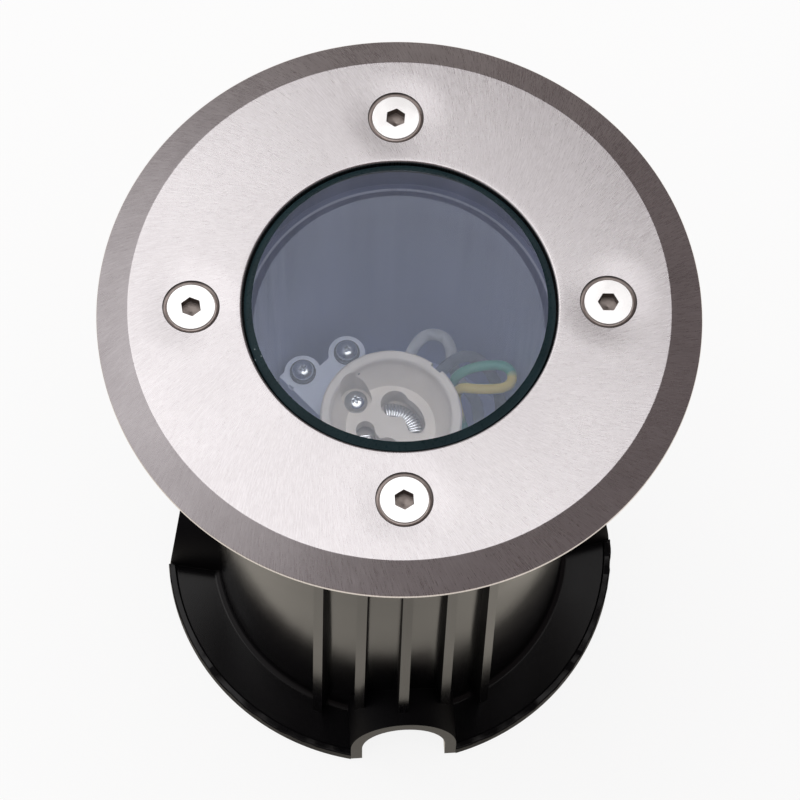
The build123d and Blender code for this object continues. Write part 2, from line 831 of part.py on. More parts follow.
with BuildPart() as ground_sleeve:
    with BuildSketch(Plane.XZ) as sleeve_section:
        with BuildLine():
            Polyline(
                (sleeve_bore_radius, 0),
                (base_radius, 0),
                (base_radius, base_thickness + base_bead_height),
                (base_radius - base_bead_width, base_thickness + base_bead_height),
                (base_radius - base_bead_width, base_thickness),
                (sleeve_radius, base_thickness),
                (sleeve_radius, shoulder_foot),
                (collar_radius, collar_foot),
                (collar_radius, bezel_under),
                (collar_bore_radius, bezel_under),
                (collar_bore_radius, collar_foot + shoulder_wall),
                (sleeve_bore_radius, shoulder_foot + shoulder_wall),
                close=True,
            )
        make_face()
        fillet(sleeve_section.vertices().sort_by_distance((sleeve_radius, base_thickness))[0], base_fillet)
    revolve(axis=Axis.Z)
    for heading in tunnel_headings:
        with BuildSketch(facing(heading)):
            with Locations((0, tunnel_leg)):
                Circle(tunnel_width / 2)
            with Locations((0, tunnel_leg / 2)):
                Rectangle(tunnel_width, tunnel_leg)
            with Locations((0, -tunnel_width / 2)):
                Rectangle(2 * tunnel_width, tunnel_width, mode=Mode.SUBTRACT)
        extrude(amount=tunnel_reach)
        with BuildSketch(upright(heading)):
            with BuildLine():
                Polyline(
                    (tunnel_reach, 0),
                    (base_radius + cut_margin, 0),
                    (base_radius + cut_margin, lean_top),
                    (tunnel_reach - lean_top * math.tan(math.radians(tunnel_lean)), lean_top),
                    close=True,
                )
            make_face()
        extrude(amount=tunnel_width / 2, both=True, mode=Mode.SUBTRACT)
    for heading in rib_headings:
        for rib_angle in rib_angles:
            with BuildSketch(upright(heading + rib_angle)):
                with BuildLine():
                    Polyline(
                        (sleeve_radius - rib_root, base_thickness / 2),
                        (rib_foot_radius, base_thickness / 2),
                        (sleeve_radius - rib_root, base_thickness / 2 + rib_rise),
                        close=True,
                    )
                make_face()
            extrude(amount=rib_width / 2, both=True)
    with BuildSketch(Plane.XY):
        Circle(sleeve_bore_radius)
    extrude(amount=lean_top, mode=Mode.SUBTRACT)
    for heading in tunnel_headings:
        with BuildSketch(facing(heading)):
            with Locations((0, tunnel_leg)):
                Circle(tunnel_width / 2 - tunnel_wall)
            with Locations((0, tunnel_leg / 2)):
                Rectangle(tunnel_width - 2 * tunnel_wall, tunnel_leg)
        extrude(amount=base_radius + cut_margin, mode=Mode.SUBTRACT)
finish(ground_sleeve, "ground_sleeve")
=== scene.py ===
"""In-ground well light: every visible surface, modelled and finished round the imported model.

Metres, +Z up. The light stands on Z = 0 with a cable tunnel of its sleeve towards -Y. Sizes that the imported
model holds are read from it, and the rest are fields of the class that uses them, given in millimetres
times MM.
"""

import logging
import math
from collections.abc import Callable, Iterator, Sequence
from contextlib import contextmanager
from dataclasses import dataclass
from enum import Enum

import bpy
from mathutils import Matrix, Vector


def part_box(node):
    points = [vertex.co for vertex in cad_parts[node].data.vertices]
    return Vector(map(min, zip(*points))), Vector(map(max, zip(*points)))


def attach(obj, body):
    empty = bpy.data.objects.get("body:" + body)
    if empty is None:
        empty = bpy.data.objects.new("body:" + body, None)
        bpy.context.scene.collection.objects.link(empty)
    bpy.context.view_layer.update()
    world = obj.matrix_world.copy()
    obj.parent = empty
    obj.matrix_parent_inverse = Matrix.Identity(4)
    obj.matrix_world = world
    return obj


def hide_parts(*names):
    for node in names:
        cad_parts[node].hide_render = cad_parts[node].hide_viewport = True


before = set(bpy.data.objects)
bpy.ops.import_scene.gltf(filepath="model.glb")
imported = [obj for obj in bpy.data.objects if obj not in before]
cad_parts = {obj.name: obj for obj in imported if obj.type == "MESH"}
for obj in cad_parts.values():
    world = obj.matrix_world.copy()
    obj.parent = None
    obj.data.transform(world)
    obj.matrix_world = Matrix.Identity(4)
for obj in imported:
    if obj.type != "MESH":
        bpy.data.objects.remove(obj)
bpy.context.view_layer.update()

MM = 0.001
MERGE = 0.001 * MM  # points nearer than this are one point
HAIR = 0.01 * MM  # a gap or an overlap too small to see
FLAT = math.radians(0.3)  # facets that meet flatter than this are one face
log = logging.getLogger("well_light")

Point = tuple[float, float, float]
Station = tuple[float, float]
Colour = tuple[float, float, float]
Piece = bpy.types.Object
Node = bpy.types.Node
Socket = bpy.types.NodeSocket
Sockets = bpy.types.bpy_prop_collection


class Cut(Enum):
    """How one solid is combined with another."""

    REMOVE = "DIFFERENCE"
    ADD = "UNION"


class Body(Enum):
    """The two bodies of the light."""

    SLEEVE = "sleeve"
    FITTING = "fitting"


# ------------------------------------------------------------------------------------ bench work


def deselect() -> None:
    """Leave edit mode and deselect everything."""
    if bpy.context.object is not None and bpy.context.object.mode != "OBJECT":
        bpy.ops.object.mode_set(mode="OBJECT")
    bpy.ops.object.select_all(action="DESELECT")


def take(piece: Piece) -> None:
    """Make one piece the only one selected, and the active one.

    Args:
        piece: The object to work on next.
    """
    deselect()
    piece.select_set(True)
    bpy.context.view_layer.objects.active = piece


@contextmanager
def editing(piece: Piece) -> Iterator[None]:
    """Work a piece in edit mode with all of it selected, and leave edit mode afterwards.

    Args:
        piece: The object to work.

    Yields:
        Nothing.
    """
    take(piece)
    bpy.ops.object.mode_set(mode="EDIT")
    bpy.ops.mesh.select_all(action="SELECT")
    yield
    bpy.ops.object.mode_set(mode="OBJECT")


def name_new(name: str) -> Piece:
    """Name the primitive that was just added.

    Args:
        name: The piece's name.

    Returns:
        The new object.
    """
    piece = bpy.context.object
    piece.name = name
    piece.data.name = name
    return piece


def put_in(name: str, data: bpy.types.ID) -> Piece:
    """Put a mesh, a curve, a lamp or a camera into the scene as an object.

    Args:
        name: The name of both.
        data: What the object shows.

    Returns:
        The new object.
    """
    data.name = name
    made = bpy.data.objects.new(name, data)
    bpy.context.scene.collection.objects.link(made)
    return made


def put_away(piece: Piece) -> None:
    """Remove a tool or a pattern piece once it has served."""
    bpy.data.objects.remove(piece)


def settle(piece: Piece) -> Piece:
    """Put a piece's place and turn into its mesh, so that its object sits at the origin.

    Args:
        piece: The object to settle.

    Returns:
        The same object.
    """
    take(piece)
    bpy.ops.object.transform_apply(location=True, rotation=True, scale=True)
    return piece


def head_towards(piece: Piece, heading: float) -> Piece:
    """Turn a piece that points along +X to another direction.

    Args:
        piece: The object to turn.
        heading: Its new direction, in degrees from +X.

    Returns:
        The same object.
    """
    piece.rotation_euler = (0, 0, math.radians(heading))
    return settle(piece)


def face_outwards(piece: Piece) -> None:
    """Merge doubled points and turn every face of a closed shell outwards."""
    with editing(piece):
        bpy.ops.mesh.remove_doubles(threshold=MERGE)
        bpy.ops.mesh.normals_make_consistent(inside=False)


def drop_slivers(piece: Piece) -> None:
    """Merge what is left of faces that have no breadth."""
    with editing(piece):
        bpy.ops.mesh.remove_doubles(threshold=MERGE)
        bpy.ops.mesh.dissolve_degenerate(threshold=MERGE)


def turn(
    name: str,
    profile: Sequence[Station],
    centre: Station = (0.0, 0.0),
    segments: int = 192,
    ring: bool = False,
) -> Piece:
    """Turn a profile about an upright axis, by extruding a circle from station to station.

    Args:
        name: The piece's name.
        profile: Stations of radius and height, none on the axis.
        centre: The axis' place in X and Y.
        segments: Points round the circle.
        ring: True for a closed ring with a bore, False for a solid capped at both ends.

    Returns:
        The turned piece.
    """
    deselect()
    radius, height = profile[0]
    fill = "NOTHING" if ring else "NGON"
    bpy.ops.mesh.primitive_circle_add(
        vertices=segments, radius=radius, fill_type=fill, location=(*centre, height)
    )
    piece = name_new(name)
    stations = [*profile[1:], profile[0]] if ring else profile[1:]
    with editing(piece):
        for next_radius, next_height in stations:
            rise = (0, 0, next_height - height)
            bpy.ops.mesh.extrude_region_move(TRANSFORM_OT_translate={"value": rise})
            share = next_radius / radius
            bpy.ops.transform.resize(value=(share, share, 1), center_override=(*centre, next_height))
            radius, height = next_radius, next_height
    settle(piece)
    face_outwards(piece)
    return piece


def rounded(profile: Sequence[Station], radii: dict[int, float], steps: int = 5) -> list[Station]:
    """Round chosen corners of a closed profile with arcs.

    Args:
        profile: Stations of radius and height.
        radii: Radius of the arc at each corner that has one, by its place in the profile.
        steps: Straight pieces in each arc.

    Returns:
        The profile with its arcs.
    """
    made: list[Station] = []
    for index, corner in enumerate(profile):
        if index not in radii:
            made.append(corner)
            continue
        here = Vector(corner)
        back = (Vector(profile[index - 1]) - here).normalized()
        ahead = (Vector(profile[(index + 1) % len(profile)]) - here).normalized()
        half = back.angle(ahead) / 2
        reach = radii[index] / math.tan(half)
        middle = here + (back + ahead).normalized() * (radii[index] / math.sin(half))
        first = here + back * reach - middle
        last = here + ahead * reach - middle
        sweep = math.atan2(first.cross(last), first.dot(last))
        for step in range(steps + 1):
            angle = sweep * step / steps
            across = first.x * math.cos(angle) - first.y * math.sin(angle)
            up = first.x * math.sin(angle) + first.y * math.cos(angle)
            made.append(tuple(middle + Vector((across, up))))
    return made


def rod(
    name: str,
    radius: float,
    centre: Point,
    length: float,
    sides: int = 48,
    turned: Point = (0.0, 0.0, 0.0),
) -> Piece:
    """Add a cylinder, or a prism where it has few sides.

    Args:
        name: The piece's name.
        radius: Radius of its corners.
        centre: Its middle.
        length: Its length along its own axis, upright unless it is turned.
        sides: Corners round it.
        turned: Turns about X, Y and Z, in degrees.

    Returns:
        The rod.
    """
    deselect()
    bpy.ops.mesh.primitive_cylinder_add(
        vertices=sides,
        radius=radius,
        depth=length,
        location=centre,
        rotation=[math.radians(part) for part in turned],
    )
    return settle(name_new(name))


def block(name: str, low: Point, high: Point) -> Piece:
    """Add a box between two corners.

    Args:
        name: The piece's name.
        low: Its lowest corner.
        high: Its highest corner.

    Returns:
        The box.
    """
    deselect()
    middle = [(first + last) / 2 for first, last in zip(low, high)]
    size = [last - first for first, last in zip(low, high)]
    bpy.ops.mesh.primitive_cube_add(size=1.0, location=middle, scale=size)
    return settle(name_new(name))


def pick(piece: Piece, wanted: Callable[[Vector], bool]) -> None:
    """Enter edit mode with only those vertices selected that a test accepts.

    Args:
        piece: The object to work.
        wanted: Says of a place whether its vertex is selected.
    """
    take(piece)
    bpy.ops.object.mode_set(mode="EDIT")
    bpy.ops.mesh.select_mode(type="VERT")
    bpy.ops.mesh.select_all(action="DESELECT")
    bpy.ops.object.mode_set(mode="OBJECT")
    for vertex in piece.data.vertices:
        vertex.select = wanted(vertex.co)
    bpy.ops.object.mode_set(mode="EDIT")


def modify(piece: Piece, kind: str, **settings: object) -> None:
    """Add a modifier, set it and apply it.

    Args:
        piece: The object to work.
        kind: The modifier's type.
        settings: Properties of the modifier.
    """
    take(piece)
    bpy.ops.object.modifier_add(type=kind)
    modifier = piece.modifiers[-1]
    for key, value in settings.items():
        setattr(modifier, key, value)
    bpy.ops.object.modifier_apply(modifier=modifier.name)


def combine(piece: Piece, tool: Piece, how: Cut) -> None:
    """Cut a tool out of a piece, or weld it on, and put the tool away."""
    modify(piece, "BOOLEAN", operation=how.value, solver="EXACT", object=tool)
    put_away(tool)


def join(name: str, pieces: Sequence[Piece]) -> Piece:
    """Join meshes into one object.

    Args:
        name: Name of the joined object.
        pieces: The objects to join.

    Returns:
        The joined object.
    """
    deselect()
    for piece in pieces:
        piece.select_set(True)
    bpy.context.view_layer.objects.active = pieces[0]
    bpy.ops.object.join()
    return name_new(name)


def soften(piece: Piece, width: float, steps: int = 3, angle: float = 35.0) -> None:
    """Break every edge that is sharper than an angle.

    Args:
        piece: The object to work.
        width: Width of the broken edge.
        steps: Facets across it.
        angle: Least angle of an edge that is broken, in degrees.
    """
    modify(
        piece,
        "BEVEL",
        width=width,
        segments=steps,
        limit_method="ANGLE",
        angle_limit=math.radians(angle),
        miter_outer="MITER_ARC",
    )


def shade(piece: Piece, angle: float = 40.0) -> None:
    """Shade a piece smooth up to an angle, with its flat faces kept flat.

    Args:
        piece: The object to shade.
        angle: Sharper edges stay crisp, in degrees.
    """
    take(piece)
    bpy.ops.object.shade_smooth_by_angle(angle=math.radians(angle))
    modify(piece, "WEIGHTED_NORMAL", keep_sharp=True)


def copy_at(piece: Piece, name: str, place: Point, turned: float = 0.0) -> Piece:
    """Copy a piece with its own mesh, turned about +Z and then moved.

    Args:
        piece: The object to copy.
        name: The copy's name.
        place: How far it is moved.
        turned: Its turn, in degrees.

    Returns:
        The copy, with its place in its mesh.
    """
    mesh = piece.data.copy()
    mesh.transform(Matrix.Translation(place) @ Matrix.Rotation(math.radians(turned), 4, "Z"))
    return put_in(name, mesh)


def polar(radius: float, degrees: float, centre: Station = (0.0, 0.0)) -> Station:
    """A point at a radius and an angle round a centre."""
    turned = math.radians(degrees)
    return (centre[0] + radius * math.cos(turned), centre[1] + radius * math.sin(turned))


def refined(node: str, name: str, edge: float, steps: int = 2) -> Piece:
    """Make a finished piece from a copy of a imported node: merged, its edges broken and shaded smooth.

    Args:
        node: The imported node.
        name: The piece's name.
        edge: Width of the broken edges.
        steps: Facets across them.

    Returns:
        The piece, in the node's place.
    """
    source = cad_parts[node]
    mesh = source.data.copy()
    mesh.transform(source.matrix_world)
    mesh.materials.clear()
    piece = put_in(name, mesh)
    take(piece)
    bpy.ops.mesh.customdata_custom_splitnormals_clear()
    with editing(piece):
        bpy.ops.mesh.remove_doubles(threshold=2 * MERGE)
        bpy.ops.mesh.dissolve_limited(angle_limit=FLAT)
        bpy.ops.mesh.normals_make_consistent(inside=False)
    soften(piece, edge, steps)
    shade(piece)
    return piece


# ------------------------------------------------------------------------------------ shader graphs


NOISE_SPAN = (0.3, 0.7)  # most of a noise's values lie between these
WHOLE_SPAN = (0.0, 1.0)


class Graph:
    """A node tree under construction."""

    def __init__(self, tree: bpy.types.NodeTree) -> None:
        """Start on an empty tree."""
        self.tree = tree

    def add(self, kind: str, **settings: object) -> Node:
        """Add a node and set its properties.

        Args:
            kind: The node's type.
            settings: Properties of the node.

        Returns:
            The node.
        """
        node = self.tree.nodes.new(kind)
        for key, value in settings.items():
            setattr(node, key, value)
        return node

    def feed(self, socket: Socket, value: object) -> None:
        """Link an output to a socket, or set the socket's own value.

        Args:
            socket: The input to feed.
            value: An output of another node, or a plain value.
        """
        if isinstance(value, Socket):
            self.tree.links.new(value, socket)
        else:
            socket.default_value = value

    def chain(self, node: Node, *values: object) -> Node:
        """Feed a node's first inputs in order.

        Args:
            node: The node.
            values: Value or output for each input.

        Returns:
            The same node.
        """
        for socket, value in zip(node.inputs, values):
            self.feed(socket, value)
        return node

    def math(self, operation: str, first: object, second: object = 0.0) -> Socket:
        """A Math node on one or two values."""
        return self.chain(self.add("ShaderNodeMath", operation=operation), first, second).outputs[0]

    def times(self, first: object, second: object) -> Socket:
        """The product of two values."""
        return self.math("MULTIPLY", first, second)

    def plus(self, first: object, second: object) -> Socket:
        """The sum of two values."""
        return self.math("ADD", first, second)

    def minus(self, first: object, second: object) -> Socket:
        """One value less another."""
        return self.math("SUBTRACT", first, second)

    def vector(self, operation: str, first: object, second: object) -> Socket:
        """A Vector Math node on two vectors."""
        node = self.chain(self.add("ShaderNodeVectorMath", operation=operation), first, second)
        return node.outputs["Value" if operation == "DOT_PRODUCT" else "Vector"]

    def split(self, vector: object) -> tuple[Socket, ...]:
        """The three parts of a vector."""
        return tuple(self.chain(self.add("ShaderNodeSeparateXYZ"), vector).outputs)

    def build_vector(self, x: object, y: object, z: object) -> Socket:
        """A vector of three values."""
        return self.chain(self.add("ShaderNodeCombineXYZ"), x, y, z).outputs[0]

    def radius(self, vector: object) -> Socket:
        """How far a place lies from the upright axis."""
        x, y, _ = self.split(vector)
        return self.math("SQRT", self.plus(self.times(x, x), self.times(y, y)))

    def noise(self, vector: object, scale: object, detail: float = 3.0, rough: float = 0.55) -> Socket:
        """A noise value about 0.5.

        Args:
            vector: Where it is read.
            scale: How fine it is.
            detail: Layers of finer noise in it.
            rough: Share of each finer layer.

        Returns:
            The value.
        """
        node = self.add("ShaderNodeTexNoise")
        settings = {"Vector": vector, "Scale": scale, "Detail": detail, "Roughness": rough}
        for label, value in settings.items():
            self.feed(node.inputs[label], value)
        return node.outputs[0]

    def cells(self, vector: object, scale: object) -> Sockets:
        """Scattered cells.

        Args:
            vector: Where they are read.
            scale: How fine they are.

        Returns:
            The outputs: distance from the cell's middle, and a colour of its own.
        """
        node = self.add("ShaderNodeTexVoronoi", feature="F1")
        self.feed(node.inputs["Vector"], vector)
        self.feed(node.inputs["Scale"], scale)
        return node.outputs

    def remap(
        self, value: object, low: object, high: object, to_low: object = 0.0, to_high: object = 1.0
    ) -> Socket:
        """A value moved from one range to another, and kept inside it."""
        node = self.add("ShaderNodeMapRange", clamp=True)
        return self.chain(node, value, low, high, to_low, to_high).outputs[0]

    def blend(self, share: object, first: object, second: object) -> Socket:
        """A mix of two colours.

        Args:
            share: Share of the second.
            first: The first colour.
            second: The second colour.

        Returns:
            The mixed colour.
        """
        node = self.add("ShaderNodeMix", data_type="RGBA", blend_type="MIX", clamp_factor=True)
        self.feed(node.inputs["Factor"], share)
        for socket, colour in zip((node.inputs[6], node.inputs[7]), (first, second)):
            self.feed(socket, (*colour, 1.0) if isinstance(colour, tuple) else colour)
        return node.outputs[2]

    def mix_shaders(self, share: object, first: Node, second: Node) -> Socket:
        """A mix of two shaders, with the share of the second given."""
        node = self.add("ShaderNodeMixShader")
        return self.chain(node, share, first.outputs[0], second.outputs[0]).outputs[0]

    def bump(self, height: object, depth: float, strength: float) -> Socket:
        """A normal bent by a height from 0 to 1 that stands for a real depth.

        Args:
            height: The height.
            depth: The depth that 1 stands for.
            strength: How much of it shows.

        Returns:
            The normal.
        """
        node = self.add("ShaderNodeBump")
        for label, value in (("Strength", strength), ("Distance", depth), ("Height", height)):
            self.feed(node.inputs[label], value)
        return node.outputs[0]

    def place(self) -> Socket:
        """Object coordinates."""
        return self.add("ShaderNodeTexCoord").outputs["Object"]

    def normal(self) -> Socket:
        """The surface's normal."""
        return self.add("ShaderNodeNewGeometry").outputs["Normal"]


Fill = Callable[[Graph, Sockets, Sockets], None]


@dataclass(frozen=True)
class Effect:
    """A shader group that materials share, built the first time that one of them uses it."""

    name: str
    fill: Fill
    outputs: tuple[str, ...]
    numbers: tuple[str, ...] = ()

    def tree(self) -> bpy.types.NodeTree:
        """The group's node tree, with a place and the effect's numbers as its inputs.

        Returns:
            The tree.
        """
        if self.name in bpy.data.node_groups:
            return bpy.data.node_groups[self.name]
        tree = bpy.data.node_groups.new(self.name, "ShaderNodeTree")
        tree.interface.new_socket("Vector", in_out="INPUT", socket_type="NodeSocketVector")
        for label in self.numbers:
            tree.interface.new_socket(label, in_out="INPUT", socket_type="NodeSocketFloat")
        for label in self.outputs:
            tree.interface.new_socket(label, in_out="OUTPUT", socket_type="NodeSocketFloat")
        graph = Graph(tree)
        given, out = graph.add("NodeGroupInput"), graph.add("NodeGroupOutput")
        self.fill(graph, given.outputs, out.inputs)
        return tree

    def use(self, graph: Graph, place: object, **numbers: float) -> Sockets:
        """Place the group in a material with its own values.

        Args:
            graph: The material's graph.
            place: Where the effect is read.
            numbers: Value of each input number.

        Returns:
            The group's outputs.
        """
        node = graph.add("ShaderNodeGroup", node_tree=self.tree())
        for label, value in (("Vector", place), *numbers.items()):
            graph.feed(node.inputs[label], value)
        return node.outputs


def fill_strokes(graph: Graph, given: Sockets, out: Sockets) -> None:
    """Short brush strokes that run outwards in a spiral, finer across than along.

    Args:
        graph: The group's graph.
        given: Its inputs.
        out: Its outputs.
    """
    x, y, _ = graph.split(given["Vector"])
    drift = graph.math("LOGARITHM", graph.radius(given["Vector"]), math.e)
    spun = graph.minus(graph.math("ARCTAN2", y, x), graph.times(drift, given["Twist"]))
    around = graph.build_vector(
        graph.times(graph.math("COSINE", spun), given["Across"]),
        graph.times(graph.math("SINE", spun), given["Across"]),
        graph.times(drift, given["Along"]),
    )
    fine_scale, coarse_share, contrast, patch_scale = 2.7, 0.55, (0.32, 0.68), 55.0
    coarse = graph.noise(around, 1.0, detail=2.0, rough=0.6)
    fine = graph.noise(around, fine_scale, rough=0.7)
    both = graph.plus(graph.times(coarse, coarse_share), graph.times(fine, 1 - coarse_share))
    graph.feed(out["Strokes"], graph.remap(both, *contrast))
    patches = graph.noise(given["Vector"], patch_scale, detail=2.0)
    graph.feed(out["Patches"], graph.remap(patches, *NOISE_SPAN))


def fill_edge_wear(graph: Graph, given: Sockets, out: Sockets) -> None:
    """A mask of the edges of a piece, broken up by noise: both rubbed edges and a painted highlight along
    them.

    Args:
        graph: The group's graph.
        given: Its inputs.
        out: Its outputs.
    """
    edge_likeness, worn_and_lit_span = (0.99, 0.8), (0.35, 0.6)
    # painted highlight and rubbing: the mask marks rounded edges, which the finishes lighten
    rounding = graph.add("ShaderNodeBevel", samples=4)
    graph.feed(rounding.inputs["Radius"], given["Reach"])
    likeness = graph.vector("DOT_PRODUCT", rounding.outputs[0], graph.normal())
    worn_and_lit = graph.noise(given["Vector"], given["Scale"], detail=4.0, rough=0.65)
    mask = graph.times(graph.remap(likeness, *edge_likeness), graph.remap(worn_and_lit, *worn_and_lit_span))
    graph.feed(out["Mask"], mask)


def fill_dust(graph: Graph, given: Sockets, out: Sockets) -> None:
    """A mask of fine dust that settles on what faces up, and of scattered specks of it.

    Args:
        graph: The group's graph.
        given: Its inputs.
        out: Its outputs.
    """
    upward_span, film_span, spot_span = (0.1, 0.9), (0.42, 0.75), (0.16, 0.06)
    film_scale, spot_scale, spot_share = 90.0, 620.0, 0.5
    facing = graph.remap(graph.split(graph.normal())[2], *upward_span)
    film = graph.remap(graph.noise(given["Vector"], film_scale, detail=5.0, rough=0.7), *film_span)
    spots = graph.remap(graph.cells(given["Vector"], spot_scale)["Distance"], *spot_span)
    total = graph.math("MAXIMUM", graph.times(film, facing), graph.times(spots, spot_share))
    graph.feed(out["Mask"], graph.times(total, given["Amount"]))


def fill_grain(graph: Graph, given: Sockets, out: Sockets) -> None:
    """The skin of a casting, a moulding or a fired body: a fine height and a soft mottle.

    Args:
        graph: The group's graph.
        given: Its inputs.
        out: Its outputs.
    """
    coarser = 0.07
    graph.feed(out["Height"], graph.noise(given["Vector"], given["Scale"], detail=4.0, rough=0.6))
    broad = graph.noise(given["Vector"], graph.times(given["Scale"], coarser))
    graph.feed(out["Mottle"], graph.remap(broad, *NOISE_SPAN))


def fill_specks(graph: Graph, given: Sockets, out: Sockets) -> None:
    """A few small round specks, in the share of cells that is asked for.

    Args:
        graph: The group's graph.
        given: Its inputs.
        out: Its outputs.
    """
    speck_span = (0.13, 0.07)
    cells = graph.cells(given["Vector"], given["Scale"])
    few = graph.math("LESS_THAN", graph.split(cells["Color"])[0], given["Share"])
    graph.feed(out["Mask"], graph.times(graph.remap(cells["Distance"], *speck_span), few))


def fill_draw_lines(graph: Graph, given: Sockets, out: Sockets) -> None:
    """Upright drag lines that a core leaves on the walls of a bore.

    Args:
        graph: The group's graph.
        given: Its inputs.
        out: Its outputs.
    """
    upright, coarser, broad_span = 0.04, 0.12, (0.35, 0.65)
    x, y, z = graph.split(given["Vector"])
    drawn = graph.build_vector(x, y, graph.times(z, upright))
    graph.feed(out["Fine"], graph.noise(drawn, given["Scale"], detail=4.0, rough=0.65))
    broad = graph.noise(drawn, graph.times(given["Scale"], coarser), detail=2.0)
    graph.feed(out["Broad"], graph.remap(broad, *broad_span))


def fill_turned_rings(graph: Graph, given: Sockets, out: Sockets) -> None:
    """Fine rings that a lathe leaves round an upright axis."""
    across = graph.build_vector(graph.radius(given["Vector"]), 0.0, 0.0)
    graph.feed(out["Rings"], graph.noise(across, given["Scale"]))


def fill_braid(graph: Graph, given: Sockets, out: Sockets) -> None:
    """Crossing yarns of a braided sleeve, each over the other in turn, on a map in yarn widths.

    Args:
        graph: The group's graph.
        given: Its inputs.
        out: Its outputs.
    """
    u, v, _ = graph.split(given["Vector"])
    left = graph.math("SINE", graph.times(graph.plus(u, v), math.pi))
    right = graph.math("SINE", graph.times(graph.minus(u, v), math.pi))
    left_over = graph.math("GREATER_THAN", graph.times(left, right), 0.0)
    left_ridge = graph.times(graph.math("ABSOLUTE", left), left_over)
    right_ridge = graph.times(graph.math("ABSOLUTE", right), graph.minus(1.0, left_over))
    graph.feed(out["Height"], graph.plus(left_ridge, right_ridge))


STROKES = Effect("strokes", fill_strokes, ("Strokes", "Patches"), ("Across", "Along", "Twist"))
EDGE_WEAR_AND_HIGHLIGHT = Effect("edge_wear_and_highlight", fill_edge_wear, ("Mask",), ("Reach", "Scale"))
SETTLED_DUST = Effect("dust", fill_dust, ("Mask",), ("Amount",))
GRAIN = Effect("grain", fill_grain, ("Height", "Mottle"), ("Scale",))
SPECKS = Effect("specks", fill_specks, ("Mask",), ("Scale", "Share"))
DRAW_LINES = Effect("draw_lines", fill_draw_lines, ("Fine", "Broad"), ("Scale",))
TURNED_RINGS = Effect("turned_rings", fill_turned_rings, ("Rings",), ("Scale",))
BRAID = Effect("braid", fill_braid, ("Height",))


# ------------------------------------------------------------------------------------ finishes


def toned(colour: Colour, share: float) -> Colour:
    """A colour with each part of it taken up or down by a share."""
    return tuple(share * part for part in colour)


@dataclass(frozen=True)
class WearAndHighlight:
    """Edges rubbed to another colour, which also serves as a painted highlight along them: how far in, how
    finely broken up, and how strongly.
    """

    reach: float
    scale: float
    share: float
    colour: Colour

    def over(self, graph: Graph, tone: object) -> Socket:
        """Blend the rubbed edges, with their painted highlight, into a tone."""
        # painted highlight and rubbing: edges are blended towards their rubbed colour
        mask = EDGE_WEAR_AND_HIGHLIGHT.use(graph, graph.place(), Reach=self.reach, Scale=self.scale)["Mask"]
        return graph.blend(graph.times(mask, self.share), tone, self.colour)


@dataclass(frozen=True)
class Dust:
    """A trace of dust in a colour of its own."""

    amount: float
    colour: Colour

    def over(self, graph: Graph, tone: object) -> Socket:
        """Blend the dust into a tone."""
        mask = SETTLED_DUST.use(graph, graph.place(), Amount=self.amount)["Mask"]
        return graph.blend(mask, tone, self.colour)


@dataclass(frozen=True)
class Finish:
    """What every finish says: its slot, colour and gloss, and a kind where two share a slot."""

    slot: str
    colour: Colour
    roughness: float = 0.4
    metallic: float = 0.0
    kind: str = ""

    def title(self) -> str:
        """The material's name."""
        return (self.kind or type(self).__name__) + "_" + self.slot

    def material(self) -> bpy.types.Material:
        """The finish as a material, built once.

        Returns:
            The material.
        """
        name = self.title()
        if name in bpy.data.materials:
            return bpy.data.materials[name]
        made = bpy.data.materials.new(name)
        made.use_nodes = True
        made.node_tree.nodes.clear()
        graph = Graph(made.node_tree)
        shader = graph.add("ShaderNodeBsdfPrincipled")
        shader.inputs["Base Color"].default_value = (*self.colour, 1.0)
        shader.inputs["Roughness"].default_value = self.roughness
        shader.inputs["Metallic"].default_value = self.metallic
        output = graph.add("ShaderNodeOutputMaterial")
        graph.feed(output.inputs["Surface"], shader.outputs[0])
        self.detail(graph, shader)
        return made

    def detail(self, graph: Graph, shader: Node) -> None:
        """Add what makes the finish its own. A plain finish adds nothing."""

    def mottled(self, graph: Graph, grain: Sockets, share: float) -> Socket:
        """The finish's colour, clouded with a lighter or darker tone of itself."""
        return graph.blend(grain["Mottle"], self.colour, toned(self.colour, share))

    def skin(
        self, graph: Graph, shader: Node, tone: Socket, height: object, depth: float, strength: float = 0.5
    ) -> None:
        """Give the shader its colour and the relief of its surface."""
        graph.feed(shader.inputs["Base Color"], tone)
        graph.feed(shader.inputs["Normal"], graph.bump(height, depth, strength))

    def vary_gloss(
        self,
        graph: Graph,
        shader: Node,
        pattern: Socket,
        less: float,
        more: float,
        span: Station = NOISE_SPAN,
    ) -> None:
        """Let the roughness follow a pattern.

        Args:
            graph: The material's graph.
            shader: Its shader.
            pattern: The pattern.
            less: How far the roughness falls below the finish's own.
            more: How far it rises above it.
            span: Lowest and highest value of the pattern.
        """
        rough = graph.remap(pattern, *span, self.roughness - less, self.roughness + more)
        graph.feed(shader.inputs["Roughness"], rough)

    def dress(self, piece: Piece) -> None:
        """Give a piece this finish in place of what it has."""
        piece.data.materials.clear()
        piece.data.materials.append(self.material())


